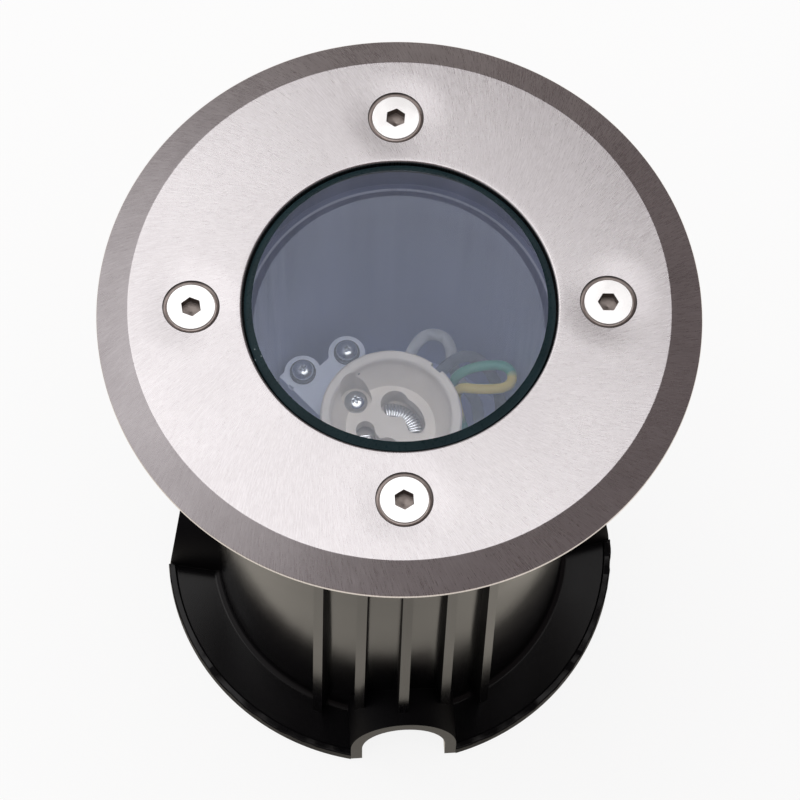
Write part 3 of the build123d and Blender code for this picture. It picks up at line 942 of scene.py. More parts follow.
@dataclass(frozen=True)
class BrushedSteel(Finish):
    """Stainless sheet, brushed outwards in short strokes, with a mottled bevel."""

    across: float = 250.0
    along: float = 22.0
    twist: float = 0.4
    light_stroke: Colour = (0.81, 0.785, 0.8)
    bevel_start: float = 49.2 * MM
    bevel_fade: float = 0.2 * MM
    bevel_share: float = 0.3
    bevel_grain: float = 1500.0
    stroke_depth: float = 0.015 * MM
    line_gloss: Station = (0.05, 0.06)
    patch_gloss: float = 0.04
    # rubbed edges, lightened also as a painted highlight
    wear: WearAndHighlight = WearAndHighlight(0.12 * MM, 300.0, 0.5, (0.9, 0.88, 0.87))
    dust: Dust = Dust(0.05, (0.75, 0.73, 0.7))

    def detail(self, graph: Graph, shader: Node) -> None:
        """Add strokes in colour, gloss and height, bright rubbed edges that carry a painted highlight, and a
        little dust.

        Args:
            graph: The material's graph.
            shader: Its shader.
        """
        place = graph.place()
        strokes = STROKES.use(graph, place, Across=self.across, Along=self.along, Twist=self.twist)
        line = strokes["Strokes"]
        grain = GRAIN.use(graph, place, Scale=self.bevel_grain)
        inner, outer = self.bevel_start - self.bevel_fade, self.bevel_start + self.bevel_fade
        bevel = graph.remap(graph.radius(place), inner, outer, 0.0, self.bevel_share)
        tone = graph.blend(bevel, line, grain["Mottle"])
        colour = self.wear.over(graph, graph.blend(tone, self.colour, self.light_stroke))
        self.skin(graph, shader, self.dust.over(graph, colour), line, self.stroke_depth)
        less, more = self.line_gloss
        gloss = graph.remap(line, *WHOLE_SPAN, self.roughness - less, self.roughness + more)
        patches = graph.times(strokes["Patches"], self.patch_gloss)
        graph.feed(shader.inputs["Roughness"], graph.plus(gloss, patches))


@dataclass(frozen=True)
class PolishedSteel(Finish):
    """Bright stainless screw, with fine turning rings."""

    centre: Point = (0.0, 0.0, 0.0)
    rings: float = 3500.0
    ring_depth: float = 0.002 * MM
    smudges: float = 2500.0

    def title(self) -> str:
        """A name of its own for each screw, because its rings have their own centre."""
        return "%s_%d_%d" % (super().title(), round(self.centre[0] / MM), round(self.centre[1] / MM))

    def detail(self, graph: Graph, shader: Node) -> None:
        """Add turning rings about the screw's own axis, and soft smudges.

        Args:
            graph: The material's graph.
            shader: Its shader.
        """
        place = graph.place()
        rings = TURNED_RINGS.use(graph, graph.vector("SUBTRACT", place, self.centre), Scale=self.rings)
        grain = GRAIN.use(graph, place, Scale=self.smudges)
        self.vary_gloss(graph, shader, grain["Mottle"], less=0.0, more=0.08, span=WHOLE_SPAN)
        graph.feed(shader.inputs["Normal"], graph.bump(rings["Rings"], self.ring_depth, strength=0.4))


@dataclass(frozen=True)
class ClearGlass(Finish):
    """Tempered glass, which lets light into the housing."""

    refraction: float = 1.5
    let_through: Colour = (0.97, 0.98, 1.0)
    coating: Colour = (0.76, 0.84, 1.0)

    def detail(self, graph: Graph, shader: Node) -> None:
        """Use plain transmission for sight, and a clear shadow so that the inside is lit.

        Args:
            graph: The material's graph.
            shader: Its shader.
        """
        shader.inputs["Transmission Weight"].default_value = 1.0
        shader.inputs["IOR"].default_value = self.refraction
        shader.inputs["Specular Tint"].default_value = (*self.coating, 1.0)
        clear = graph.add("ShaderNodeBsdfTransparent")
        clear.inputs[0].default_value = (*self.let_through, 1.0)
        shadow = graph.add("ShaderNodeLightPath").outputs["Is Shadow Ray"]
        output = next(node for node in graph.tree.nodes if node.type == "OUTPUT_MATERIAL")
        graph.feed(output.inputs["Surface"], graph.mix_shaders(shadow, shader, clear))


@dataclass(frozen=True)
class GroundEdgeShade(Finish):
    """The ground rim of the lens as an opaque dark teal skin: partly the glass's own teal, partly painted
    shade for the dark that the bevel shows, with grinding marks and tiny chips.
    """

    grain: float = 1800.0
    depth: float = 0.004 * MM
    chips: float = 900.0
    chip_share: float = 0.05
    chip_tone: Colour = (0.3, 0.36, 0.38)
    mirror: float = 0.2

    def detail(self, graph: Graph, shader: Node) -> None:
        """Add grinding marks in gloss and height, and pale chips.

        Args:
            graph: The material's graph.
            shader: Its shader.
        """
        place = graph.place()
        grain = GRAIN.use(graph, place, Scale=self.grain)
        chips = SPECKS.use(graph, place, Scale=self.chips, Share=self.chip_share)
        tone = graph.blend(chips["Mask"], self.mottled(graph, grain, share=1.5), self.chip_tone)
        self.skin(graph, shader, tone, grain["Height"], self.depth, strength=0.4)
        self.vary_gloss(graph, shader, grain["Height"], less=0.08, more=0.1)
        shader.inputs["Specular IOR Level"].default_value = self.mirror


@dataclass(frozen=True)
class Rubber(Finish):
    """Black silicone or rubber."""

    grain: float = 1600.0
    depth: float = 0.03 * MM
    dust: Dust = Dust(0.12, (0.2, 0.19, 0.18))

    def detail(self, graph: Graph, shader: Node) -> None:
        """Add a matte skin with a trace of dust.

        Args:
            graph: The material's graph.
            shader: Its shader.
        """
        grain = GRAIN.use(graph, graph.place(), Scale=self.grain)
        tone = self.dust.over(graph, self.mottled(graph, grain, share=1.6))
        self.skin(graph, shader, tone, grain["Height"], self.depth)


@dataclass(frozen=True)
class CastHousing(Finish):
    """Cast housing in a slate-blue satin coat, with draw lines down its bore.

    The bore is painted darker near its top and paler with depth, as painted shade under the lens, and a
    painted highlight runs round the rounded step at its mouth.
    """

    lines: float = 700.0
    grain: float = 1300.0
    depth: float = 0.0015 * MM
    pale: Colour = (0.18, 0.2, 0.32)
    mouth_highlight: Station = (28.4 * MM, 115.35 * MM)
    mouth_highlight_reach: float = 0.28 * MM
    mouth_highlight_tone: Colour = (0.36, 0.39, 0.5)
    deep: Station = (105.0 * MM, 40.0 * MM)
    bore: Station = (30.5 * MM, 29.5 * MM)
    deep_tone: Colour = (0.42, 0.47, 0.72)
    # rubbed edges, lightened also as a painted highlight
    wear: WearAndHighlight = WearAndHighlight(0.25 * MM, 350.0, 0.4, (0.42, 0.44, 0.48))
    dust: Dust = Dust(0.015, (0.4, 0.4, 0.42))

    def detail(self, graph: Graph, shader: Node) -> None:
        """Add draw lines, a cast skin, rubbed edges that carry a painted highlight, painted shade down the
        bore, a painted highlight round its mouth, and dust.

        Args:
            graph: The material's graph.
            shader: Its shader.
        """
        place = graph.place()
        lines = DRAW_LINES.use(graph, place, Scale=self.lines)
        grain = GRAIN.use(graph, place, Scale=self.grain)
        tone = self.wear.over(graph, graph.blend(lines["Broad"], self.colour, self.pale))
        away, height = graph.radius(place), graph.split(place)[2]
        # painted shade: the bore is darker near its top, under the lens, and paler with depth
        inside = graph.times(graph.remap(height, *self.deep), graph.remap(away, *self.bore))
        tone = graph.blend(inside, tone, self.deep_tone)
        # painted highlight: a pale ring round the rounded step at the bore's mouth
        off = [graph.math("ABSOLUTE", graph.minus(*pair)) for pair in zip((away, height), self.mouth_highlight)]
        near = [graph.remap(value, self.mouth_highlight_reach, self.mouth_highlight_reach / 2) for value in off]
        tone = self.dust.over(graph, graph.blend(graph.times(*near), tone, self.mouth_highlight_tone))
        relief = graph.plus(graph.times(lines["Fine"], 0.5), graph.times(grain["Height"], 0.5))
        self.skin(graph, shader, tone, relief, self.depth)
        self.vary_gloss(graph, shader, lines["Fine"], less=0.1, more=0.1)


@dataclass(frozen=True)
class Ceramic(Finish):
    """Unglazed lampholder ceramic: warm grey, chalky, with dark specks."""

    grain: float = 2200.0
    depth: float = 0.04 * MM
    specks: float = 450.0
    speck_share: float = 0.09
    speck_tone: Colour = (0.08, 0.07, 0.06)
    # rubbed edges, lightened also as a painted highlight
    wear: WearAndHighlight = WearAndHighlight(0.3 * MM, 500.0, 0.35, (0.86, 0.84, 0.78))

    def detail(self, graph: Graph, shader: Node) -> None:
        """Add a fired skin, mottle, specks and pale rubbed edges that carry a painted highlight.

        Args:
            graph: The material's graph.
            shader: Its shader.
        """
        place = graph.place()
        grain = GRAIN.use(graph, place, Scale=self.grain)
        specks = SPECKS.use(graph, place, Scale=self.specks, Share=self.speck_share)
        tone = self.wear.over(graph, self.mottled(graph, grain, share=0.88))
        tone = graph.blend(specks["Mask"], tone, self.speck_tone)
        self.skin(graph, shader, tone, grain["Height"], self.depth)
        self.vary_gloss(graph, shader, grain["Height"], less=0.08, more=0.08)


@dataclass(frozen=True)
class PlatedMetal(Finish):
    """Plated or rolled metal: bright, with a rolled grain, rubbed edges that carry a painted highlight, and a
    dark band of painted shade where one is asked for.
    """

    kind: str = "plated"
    lines: float = 900.0
    depth: float = 0.002 * MM
    mottle: float = 0.86
    shade_band_height: float = 0.0  # where a dark band of painted shade ends upwards, if it has one
    shade_band_depth: float = 0.3 * MM
    shade_band_tone: Colour = (0.07, 0.06, 0.058)
    # rubbed edges, lightened also as a painted highlight
    wear: WearAndHighlight = WearAndHighlight(0.15 * MM, 600.0, 0.5, (0.92, 0.93, 0.95))

    def detail(self, graph: Graph, shader: Node) -> None:
        """Add rolling grain in colour and gloss, brighter edges that are rubbing and painted highlight
        together, and a dark band of painted shade.

        Args:
            graph: The material's graph.
            shader: Its shader.
        """
        place = graph.place()
        grain = GRAIN.use(graph, place, Scale=self.lines)
        tone = self.wear.over(graph, self.mottled(graph, grain, self.mottle))
        # painted shade: a dark band that reaches full dark at a given height and above
        if self.shade_band_height:
            in_shade_band = graph.remap(graph.split(place)[2], self.shade_band_height - self.shade_band_depth, self.shade_band_height)
            tone = graph.blend(in_shade_band, tone, self.shade_band_tone)
        self.skin(graph, shader, tone, grain["Height"], self.depth)
        self.vary_gloss(graph, shader, grain["Height"], less=0.07, more=0.1)


@dataclass(frozen=True)
class MouldedPlastic(Finish):
    """Moulded plastic: a fine orange-peel skin, dust, and rubbed edges that carry a painted highlight."""

    kind: str = "moulded"
    # colour of the rubbed edges, which is also their painted highlight
    worn_and_lit: Colour = (0.09, 0.088, 0.084)
    worn_and_lit_reach: float = 0.3 * MM
    worn_and_lit_scale: float = 260.0
    worn_and_lit_share: float = 0.45
    peel: float = 420.0
    peel_depth: float = 0.008 * MM
    dust_amount: float = 0.1
    dust_tone: Colour = (0.16, 0.155, 0.15)
    mirror: float = 0.5

    def detail(self, graph: Graph, shader: Node) -> None:
        """Add orange peel, gloss patches, rubbed edges with their painted highlight, and dust.

        Args:
            graph: The material's graph.
            shader: Its shader.
        """
        peel = GRAIN.use(graph, graph.place(), Scale=self.peel)
        wear = WearAndHighlight(self.worn_and_lit_reach, self.worn_and_lit_scale, self.worn_and_lit_share, self.worn_and_lit)
        tone = wear.over(graph, self.colour)
        tone = Dust(self.dust_amount, self.dust_tone).over(graph, tone)
        self.skin(graph, shader, tone, peel["Height"], self.peel_depth)
        self.vary_gloss(graph, shader, peel["Mottle"], less=0.05, more=0.07, span=WHOLE_SPAN)
        shader.inputs["Specular IOR Level"].default_value = self.mirror


@dataclass(frozen=True)
class BraidedSleeving(Finish):
    """White glass-fibre sleeving, braided."""

    kind: str = "clean"
    yarns: Point = (10.0, 50.0, 0.0)
    ridge_span: Station = (0.1, 0.9)
    hollow_shade: float = 0.55
    depth: float = 0.12 * MM

    def detail(self, graph: Graph, shader: Node) -> None:
        """Add yarns in colour and height, with painted shade in the hollows between them, on the lead's own
        UV map.

        Args:
            graph: The material's graph.
            shader: Its shader.
        """
        along = graph.add("ShaderNodeUVMap", uv_map=Lead.UV_NAME).outputs[0]
        braid = BRAID.use(graph, graph.vector("MULTIPLY", along, self.yarns))
        ridge = graph.remap(braid["Height"], *self.ridge_span)
        # painted shade: the hollows between the yarns are darker
        tone = graph.blend(ridge, toned(self.colour, self.hollow_shade), self.colour)
        self.skin(graph, shader, tone, ridge, self.depth, strength=0.7)


@dataclass(frozen=True)
class EarthInsulation(Finish):
    """Green insulation with a yellow stripe on one side."""

    stripe: Colour = (0.9, 0.7, 0.16)
    stripe_middle: float = 0.62
    stripe_half: float = 0.17
    stripe_blur: float = 0.015
    soil: Colour = (0.3, 0.32, 0.2)
    soil_share: float = 0.15
    grain: float = 1500.0
    depth: float = 0.02 * MM

    def detail(self, graph: Graph, shader: Node) -> None:
        """Add the stripe, on the wire's own UV map, and a skin of fine marks.

        Args:
            graph: The material's graph.
            shader: Its shader.
        """
        wire = graph.add("ShaderNodeUVMap", uv_map=Lead.UV_NAME).outputs[0]
        off = graph.math("ABSOLUTE", graph.minus(graph.split(wire)[0], self.stripe_middle))
        inside = graph.remap(off, self.stripe_half + self.stripe_blur, self.stripe_half - self.stripe_blur)
        grain = GRAIN.use(graph, graph.place(), Scale=self.grain)
        tone = graph.blend(inside, self.colour, self.stripe)
        tone = graph.blend(graph.times(grain["Mottle"], self.soil_share), tone, self.soil)
        self.skin(graph, shader, tone, grain["Height"], self.depth, strength=0.4)


brushed = BrushedSteel("stainless_brushed", (0.535, 0.508, 0.517), roughness=0.27, metallic=1.0)
lens_clear = ClearGlass("lens_glass", (0.96, 0.97, 0.99), roughness=0.0)
# partly the glass's own teal, partly painted shade: an opaque dark skin where the bevel shows the dark inside
lens_edge_shade = GroundEdgeShade("lens_glass", (0.01, 0.022, 0.026), roughness=0.3)
black_rubber = Rubber("black_rubber", (0.012, 0.013, 0.014), roughness=0.62)
housing_coat = CastHousing("housing_paint", (0.112, 0.128, 0.225), roughness=0.42, metallic=0.2)
# painted shade: the countersinks' steel turns to a thin dark line at their top edge
cut_steel = PlatedMetal(
    "stainless_brushed",
    (0.62, 0.54, 0.51),
    roughness=0.36,
    metallic=1.0,
    kind="cut",
    lines=1500.0,
    mottle=0.55,
    shade_band_height=129.75 * MM,
)
socket_steel = PlatedMetal(
    "stainless_bright", (0.3, 0.26, 0.24), roughness=0.38, metallic=1.0, kind="socket", lines=1400.0
)
holder_ceramic = Ceramic("ceramic", (0.88, 0.81, 0.72), roughness=0.6)
bright_contact = PlatedMetal("contact_metal", (0.8, 0.81, 0.82), roughness=0.16, metallic=1.0)
screw_plate = PlatedMetal("zinc_screw", (0.66, 0.69, 0.73), roughness=0.18, metallic=1.0)
sheet_plate = PlatedMetal("zinc_sheet", (0.84, 0.89, 1.0), roughness=0.4, metallic=0.15, lines=500.0)
# painted shade: near-black washers stand for the shadow gap round each bracket screw's head
washer_shadow_steel = PlatedMetal("zinc_screw", (0.07, 0.075, 0.09), roughness=0.45, metallic=0.5, kind="washer")
brass = PlatedMetal("terminal_brass", (0.78, 0.58, 0.28), roughness=0.26, metallic=1.0)
white_nylon = MouldedPlastic(
    "white_nylon", (0.74, 0.74, 0.72), roughness=0.42, worn_and_lit=(0.86, 0.86, 0.84), dust_amount=0.05
)
gland_nylon = MouldedPlastic("gland_nylon", (0.02, 0.02, 0.022), roughness=0.36, peel=900.0)
sleeve_plastic = MouldedPlastic(
    "sleeve_plastic",
    (0.0035, 0.0033, 0.004),
    roughness=0.19,
    worn_and_lit=(0.03, 0.03, 0.029),
    peel=330.0,
    dust_amount=0.01,
    mirror=0.25,
)
# partly a matt skin, partly painted shade: the same black plastic mirrors much less, so the faces it dresses
# read darker
painted_shade_plastic = MouldedPlastic(
    "sleeve_plastic",
    (0.0035, 0.0033, 0.004),
    roughness=0.55,
    kind="dull",
    worn_and_lit=(0.03, 0.03, 0.029),
    dust_amount=0.01,
    mirror=0.1,
)
sleeving = BraidedSleeving("white_sleeving", (0.95, 0.97, 1.0), roughness=0.75)
# painted shade: the same white sleeving, darkened for the short lead where the housing shades it
painted_shade_sleeving = BraidedSleeving("white_sleeving", (0.24, 0.26, 0.32), roughness=0.75, kind="dull")
earth_cover = EarthInsulation("earth_insulation", (0.05, 0.42, 0.3), roughness=0.35)


# ------------------------------------------------------------------------------------ pieces


def low(node: str) -> Vector:
    """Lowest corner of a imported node."""
    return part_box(node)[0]


def high(node: str) -> Vector:
    """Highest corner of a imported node."""
    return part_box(node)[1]


def mount(piece: Piece, finish: Finish, node: str, body: Body = Body.FITTING) -> None:
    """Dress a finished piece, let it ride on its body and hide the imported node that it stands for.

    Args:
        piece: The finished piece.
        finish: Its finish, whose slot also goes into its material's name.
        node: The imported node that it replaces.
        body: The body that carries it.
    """
    finish.dress(piece)
    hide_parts(node)
    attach(piece, body.value)
    log.info("%s: %d faces on %s", piece.name, len(piece.data.polygons), body.value)


@dataclass(frozen=True)
class NodePiece:
    """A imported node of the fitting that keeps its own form, with its edges broken."""

    node: str
    name: str
    finish: Finish
    edge: float
    steps: int = 2

    def build(self) -> None:
        """Make the piece from its node and dress it."""
        mount(refined(self.node, self.name, self.edge, self.steps), self.finish, self.node)


@dataclass
class Bezel:
    """The stamped bezel, with the sheet drawn in round its screw holes."""

    face_radius: float = 49.2 * MM
    bevel_drop: float = 2.8 * MM
    window: float = 28.6 * MM
    rounds: tuple[float, ...] = (0.6 * MM, 0.25 * MM, 0.45 * MM, 0.45 * MM)
    face_rings: int = 20
    ring_margins: Station = (1.0 * MM, 1.2 * MM)
    segments: int = 288
    screw_circle: float = 37.75 * MM
    first_screw: float = -2.5
    countersink: float = 5.35 * MM
    hole: float = 2.75 * MM
    hole_segments: int = 96
    drawn_reach: float = 9.5 * MM
    drawn_drop: float = 0.3 * MM
    drawn_seat: float = 1.0 * MM
    drawn_margins: Station = (0.5 * MM, 0.2 * MM)
    spare: float = 0.5 * MM
    sink_margin: float = 0.2 * MM
    sloped: float = 0.9

    def holes(self) -> list[Station]:
        """Centres of the four screw holes."""
        return [polar(self.screw_circle, self.first_screw + 90 * index) for index in range(4)]

    def build(self) -> None:
        """Model the bezel and dress it."""
        top, under = high("bezel_ring").z, low("bezel_ring").z
        radius = high("bezel_ring").x
        first, last = self.face_radius - self.ring_margins[0], self.window + self.ring_margins[1]
        face = [first + (last - first) * ring / self.face_rings for ring in range(self.face_rings + 1)]
        profile = [
            (self.window, under),
            (radius, under),
            (radius, top - self.bevel_drop),
            (self.face_radius, top),
            *[(station, top) for station in face],
            (self.window, top),
        ]
        corners = (1, 2, 3, len(profile) - 1)
        outline = rounded(profile, dict(zip(corners, self.rounds)))
        bezel = turn("bezel", outline, segments=self.segments, ring=True)
        self.draw_in(bezel, top)
        sinks = [self.sink(hole, top, under) for hole in self.holes()]
        combine(bezel, join("sinks", sinks), Cut.REMOVE)
        shade(bezel, angle=28)
        mount(bezel, brushed, "bezel_ring")
        bezel.data.materials.append(cut_steel.material())
        for side in bezel.data.polygons:
            if abs(side.normal.z) < self.sloped and self.in_sink(side.center):
                side.material_index = 1

    def in_sink(self, place: Vector) -> bool:
        """Whether a place lies in one of the countersunk holes."""
        reach = self.countersink + self.sink_margin
        return any((place.xy - Vector(hole)).length < reach for hole in self.holes())

    def draw_in(self, bezel: Piece, top: float) -> None:
        """Draw the face down a little towards each screw hole.

        Args:
            bezel: The turned bezel.
            top: Height of its face.
        """
        rim, floor = self.face_radius - self.drawn_margins[0], top - self.drawn_margins[1]
        pick(bezel, lambda place: place.z > floor and place.xy.length < rim)
        bpy.ops.mesh.hide(unselected=True)
        for hole in self.holes():
            bpy.ops.mesh.select_all(action="DESELECT")
            bpy.ops.object.mode_set(mode="OBJECT")
            for vertex in bezel.data.vertices:
                near = (vertex.co.xy - Vector(hole)).length < self.drawn_seat
                vertex.select = near and not vertex.hide
            bpy.ops.object.mode_set(mode="EDIT")
            bpy.ops.transform.translate(
                value=(0, 0, -self.drawn_drop),
                use_proportional_edit=True,
                proportional_edit_falloff="SMOOTH",
                proportional_size=self.drawn_reach,
            )
        bpy.ops.mesh.reveal(select=False)
        bpy.ops.object.mode_set(mode="OBJECT")

    def sink(self, hole: Station, top: float, under: float) -> Piece:
        """The tool that cuts one countersunk hole.

        Args:
            hole: Centre of the hole.
            top: Height of the bezel's face.
            under: Height of its underside.

        Returns:
            The tool.
        """
        depth = self.countersink - self.hole
        profile = [
            (self.hole, under - self.spare),
            (self.hole, top - depth),
            (self.countersink + self.spare, top + self.spare),
        ]
        return turn("sink", profile, centre=hole, segments=self.hole_segments)


@dataclass
class BezelScrews:
    """The four countersunk screws with hexagon sockets."""

    face: float = 4.35 * MM
    head: float = 4.65 * MM
    rim: float = 0.55 * MM
    rim_round: float = 0.15 * MM
    shank: float = 2.5 * MM
    segments: int = 128
    socket_flats: float = 3.3 * MM
    socket_depth: float = 1.9 * MM
    drill_depth: float = 0.45 * MM
    drill_tip: float = 0.1 * MM
    drill_margin: float = 0.1 * MM
    edge: float = 0.05 * MM
    sharp: float = 25.0
    spins: tuple[float, ...] = (-4.0, 21.0, 35.0, 30.0)
    steel: Colour = (0.84, 0.835, 0.83)
    gloss: float = 0.1

    def build(self) -> None:
        """Model one screw, set its copies in the bezel and dress them."""
        top, tip = high("bezel_screws").z, low("bezel_screws").z
        cone = top - self.rim - (self.head - self.shank)
        profile = [(self.face, top), (self.head, top - self.rim), (self.shank, cone), (self.shank, tip)]
        screw = turn("screw", rounded(profile, {1: self.rim_round}), segments=self.segments)
        corner = self.socket_flats / math.sqrt(3)
        socket = rod("socket", corner, (0, 0, top), 2 * self.socket_depth, sides=6, turned=(0, 0, 90))
        combine(screw, socket, Cut.REMOVE)
        floor = top - self.socket_depth
        cutter = [
            (self.drill_tip, floor - self.drill_depth),
            (self.socket_flats / 2 - self.drill_margin, floor + self.edge),
        ]
        combine(screw, turn("drill", cutter, segments=48), Cut.REMOVE)
        soften(screw, self.edge, steps=2, angle=self.sharp)
        shade(screw, angle=self.sharp)
        for index, (hole, spin) in enumerate(zip(Bezel().holes(), self.spins)):
            centre = (*hole, 0.0)
            made = copy_at(screw, "bezel_screw_%d" % index, centre, spin)
            polished = PolishedSteel(
                "stainless_bright", self.steel, roughness=self.gloss, metallic=1.0, centre=centre
            )
            mount(made, polished, "bezel_screws")
            self.dull_socket(made, hole, top)
        put_away(screw)

    def dull_socket(self, screw: Piece, hole: Station, top: float) -> None:
        """Give the walls and floor of a socket a darker, browner and rougher steel.

        Args:
            screw: The screw.
            hole: Its centre.
            top: Height of its face.
        """
        screw.data.materials.append(socket_steel.material())
        reach = 0.6 * self.socket_flats  # a little past the socket's corners
        floor = top - self.socket_depth - self.drill_depth - self.drill_margin
        mouth = top - self.edge - HAIR
        for side in screw.data.polygons:
            inside = (side.center.xy - Vector(hole)).length < reach
            if inside and floor < side.center.z < mouth:
                side.material_index = 1


@dataclass
class Lens:
    """The stepped tempered lens, its ground edge and its gasket."""

    bevel: float = 1.4 * MM
    bevel_drop: float = 0.9 * MM
    radius: float = 28.2 * MM
    rim_top: float = 125.4 * MM
    skin: float = 0.03 * MM
    gasket_edge: float = 0.15 * MM
    segments: int = 256

    def build(self) -> None:
        """Model the lens, the skin on its edge and the gasket, and dress them."""
        top, under, rim = high("glass_lens").z, low("glass_lens").z, high("glass_lens").x
        inner, edge_top = self.radius - self.bevel, top - self.bevel_drop
        profile = [
            (inner, top),
            (self.radius, edge_top),
            (self.radius, self.rim_top),
            (rim, self.rim_top),
            (rim, under),
        ]
        lens = turn("lens", profile, segments=self.segments)
        shade(lens, angle=20)
        mount(lens, lens_clear, "glass_lens")
        # painted shade: an opaque dark teal skin laid over the glass's ground bevel
        outer, within = self.radius + self.skin, self.radius - 2 * self.skin
        ring = [
            (inner, top),
            (outer, edge_top + self.skin / 2),
            (outer, self.rim_top + self.skin),
            (within, self.rim_top + self.skin),
            (within, edge_top - 2 * self.skin),
            (inner, top - 2 * self.skin),
        ]
        edge = turn("lens_edge_shade", ring, segments=self.segments, ring=True)
        shade(edge, angle=20)
        mount(edge, lens_edge_shade, "glass_lens")
        NodePiece("lens_gasket", "gasket", black_rubber, self.gasket_edge).build()


@dataclass
class PanScrew:
    """A pan-head screw with a cross recess, its head standing on a seat."""

    head: float = 2.7 * MM
    height: float = 1.9 * MM
    shank: float = 1.5 * MM
    segments: int = 72
    arm: float = 1.5 * MM
    arm_width: float = 0.62 * MM
    arm_depth: float = 1.15 * MM
    arm_taper: float = 0.35
    edge: float = 0.05 * MM
    # the head's outline from its top down, as shares of its radius and height
    crown: tuple[Station, ...] = (
        (0.12, 1.0),
        (0.45, 0.975),
        (0.72, 0.87),
        (0.9, 0.68),
        (0.98, 0.45),
        (1.0, 0.2),
        (0.985, 0.04),
        (0.96, 0.0),
    )

    def pattern(self, length: float) -> Piece:
        """Model one screw on the axis, its seat at Z = 0.

        Args:
            length: Length of its shank.

        Returns:
            The pattern to copy.
        """
        dome = [(self.head * across, self.height * up) for across, up in self.crown]
        screw = turn("pan_screw", [*dome, (self.shank, 0.0), (self.shank, -length)], segments=self.segments)
        for quarter in (0, 90):
            combine(screw, self.recess_arm(quarter), Cut.REMOVE)
        soften(screw, self.edge, steps=2, angle=30)
        shade(screw, angle=35)
        return screw

    def recess_arm(self, quarter: float) -> Piece:
        """The tool that cuts one bar of the cross, narrowing downwards.

        Args:
            quarter: Its turn, 0 or 90 degrees.

        Returns:
            The tool.
        """
        top = (0, 0, self.height)
        arm = rod("arm", self.arm, top, 2 * self.arm_depth, sides=4, turned=(0, 0, 45 + quarter))
        pick(arm, lambda place: place.z < self.height)
        narrow = (self.arm_taper, self.arm_taper, 1)
        bpy.ops.transform.resize(value=narrow, center_override=(0, 0, 0))
        bpy.ops.mesh.select_all(action="SELECT")
        flat = self.arm_width / (self.arm * math.sqrt(2))
        thin = (flat, 1, 1) if quarter else (1, flat, 1)
        bpy.ops.transform.resize(value=thin, center_override=(0, 0, 0))
        bpy.ops.object.mode_set(mode="OBJECT")
        return arm

    def set_at(
        self, name: str, seats: Sequence[Point], length: float, node: str, spins: Sequence[float]
    ) -> None:
        """Set copies on their seats and dress them.

        Args:
            name: Name of the copies, each with its number.
            seats: Middle of each seat.
            length: Length of the shank.
            node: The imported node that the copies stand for.
            spins: Turn of each recess, in degrees.
        """
        pattern = self.pattern(length)
        for index, (seat, spin) in enumerate(zip(seats, spins)):
            mount(copy_at(pattern, "%s_%d" % (name, index), seat, spin), screw_plate, node)
        put_away(pattern)


@dataclass
class Lampholder:
    """The ceramic twist-lock lampholder, its contacts, cover, screws and nuts."""

    pieces: tuple[NodePiece, ...] = (
        NodePiece("lampholder_body", "lampholder", holder_ceramic, 0.32 * MM, steps=3),
        NodePiece("lampholder_cover", "lampholder_cover_plate", holder_ceramic, 0.2 * MM),
        NodePiece("holder_nuts", "holder_nut_pair", screw_plate, 0.15 * MM),
    )
    centre: Station = (-0.85 * MM, -0.55 * MM)
    fixing_circle: float = 9.1 * MM
    fixing_angle: float = 135.0
    screw_seat: float = 66.4 * MM
    screw_head: float = 2.3 * MM
    screw_spins: Station = (12.0, 50.0)
    slot_start: float = 3.0
    slot_sweep: float = 92.0
    slot_circle: float = 5.0 * MM
    strip_width: float = 2.7 * MM
    strip_edge: float = 0.1 * MM
    ripples: int = 15
    ripple_radius: float = 0.34 * MM
    leg_radius: float = 1.2 * MM
    leg_edge: float = 0.2 * MM

    def fixings(self) -> list[Station]:
        """Places of the two fixing screws."""
        return [polar(self.fixing_circle, self.fixing_angle + turned, self.centre) for turned in (0, 180)]

    def build(self) -> None:
        """Model and dress the lampholder's pieces."""
        for piece in self.pieces:
            piece.build()
        seats = [(x, y, self.screw_seat) for x, y in self.fixings()]
        length = self.screw_seat - low("holder_screws").z
        screw = PanScrew(head=self.screw_head)
        screw.set_at("holder_screw", seats, length, "holder_screws", self.screw_spins)
        for index, start in enumerate((self.slot_start, self.slot_start + 180)):
            self.contact("contact_%d" % index, start)

    def contact(self, name: str, start: float) -> None:
        """Model one sprung contact, rippled across, and dress it.

        Args:
            name: The contact's name.
            start: Angle of its first ripple, in degrees.
        """
        top, foot = high("lampholder_contacts").z, low("lampholder_contacts").z
        level = top - self.ripple_radius
        parts = []
        for index in range(self.ripples):
            angle = start + self.slot_sweep * index / (self.ripples - 1)
            centre = (*polar(self.slot_circle, angle, self.centre), level)
            ripple = rod("ripple", self.ripple_radius, centre, self.strip_width, 20, (0, 90, angle))
            soften(ripple, self.strip_edge, steps=2, angle=60)
            parts.append(ripple)
        middle = polar(self.slot_circle, start + self.slot_sweep / 2, self.centre)
        leg = rod("leg", self.leg_radius, (*middle, (level + foot) / 2), level - foot)
        soften(leg, self.leg_edge, steps=2)
        made = join(name, [*parts, leg])
        shade(made)
        mount(made, bright_contact, "lampholder_contacts")


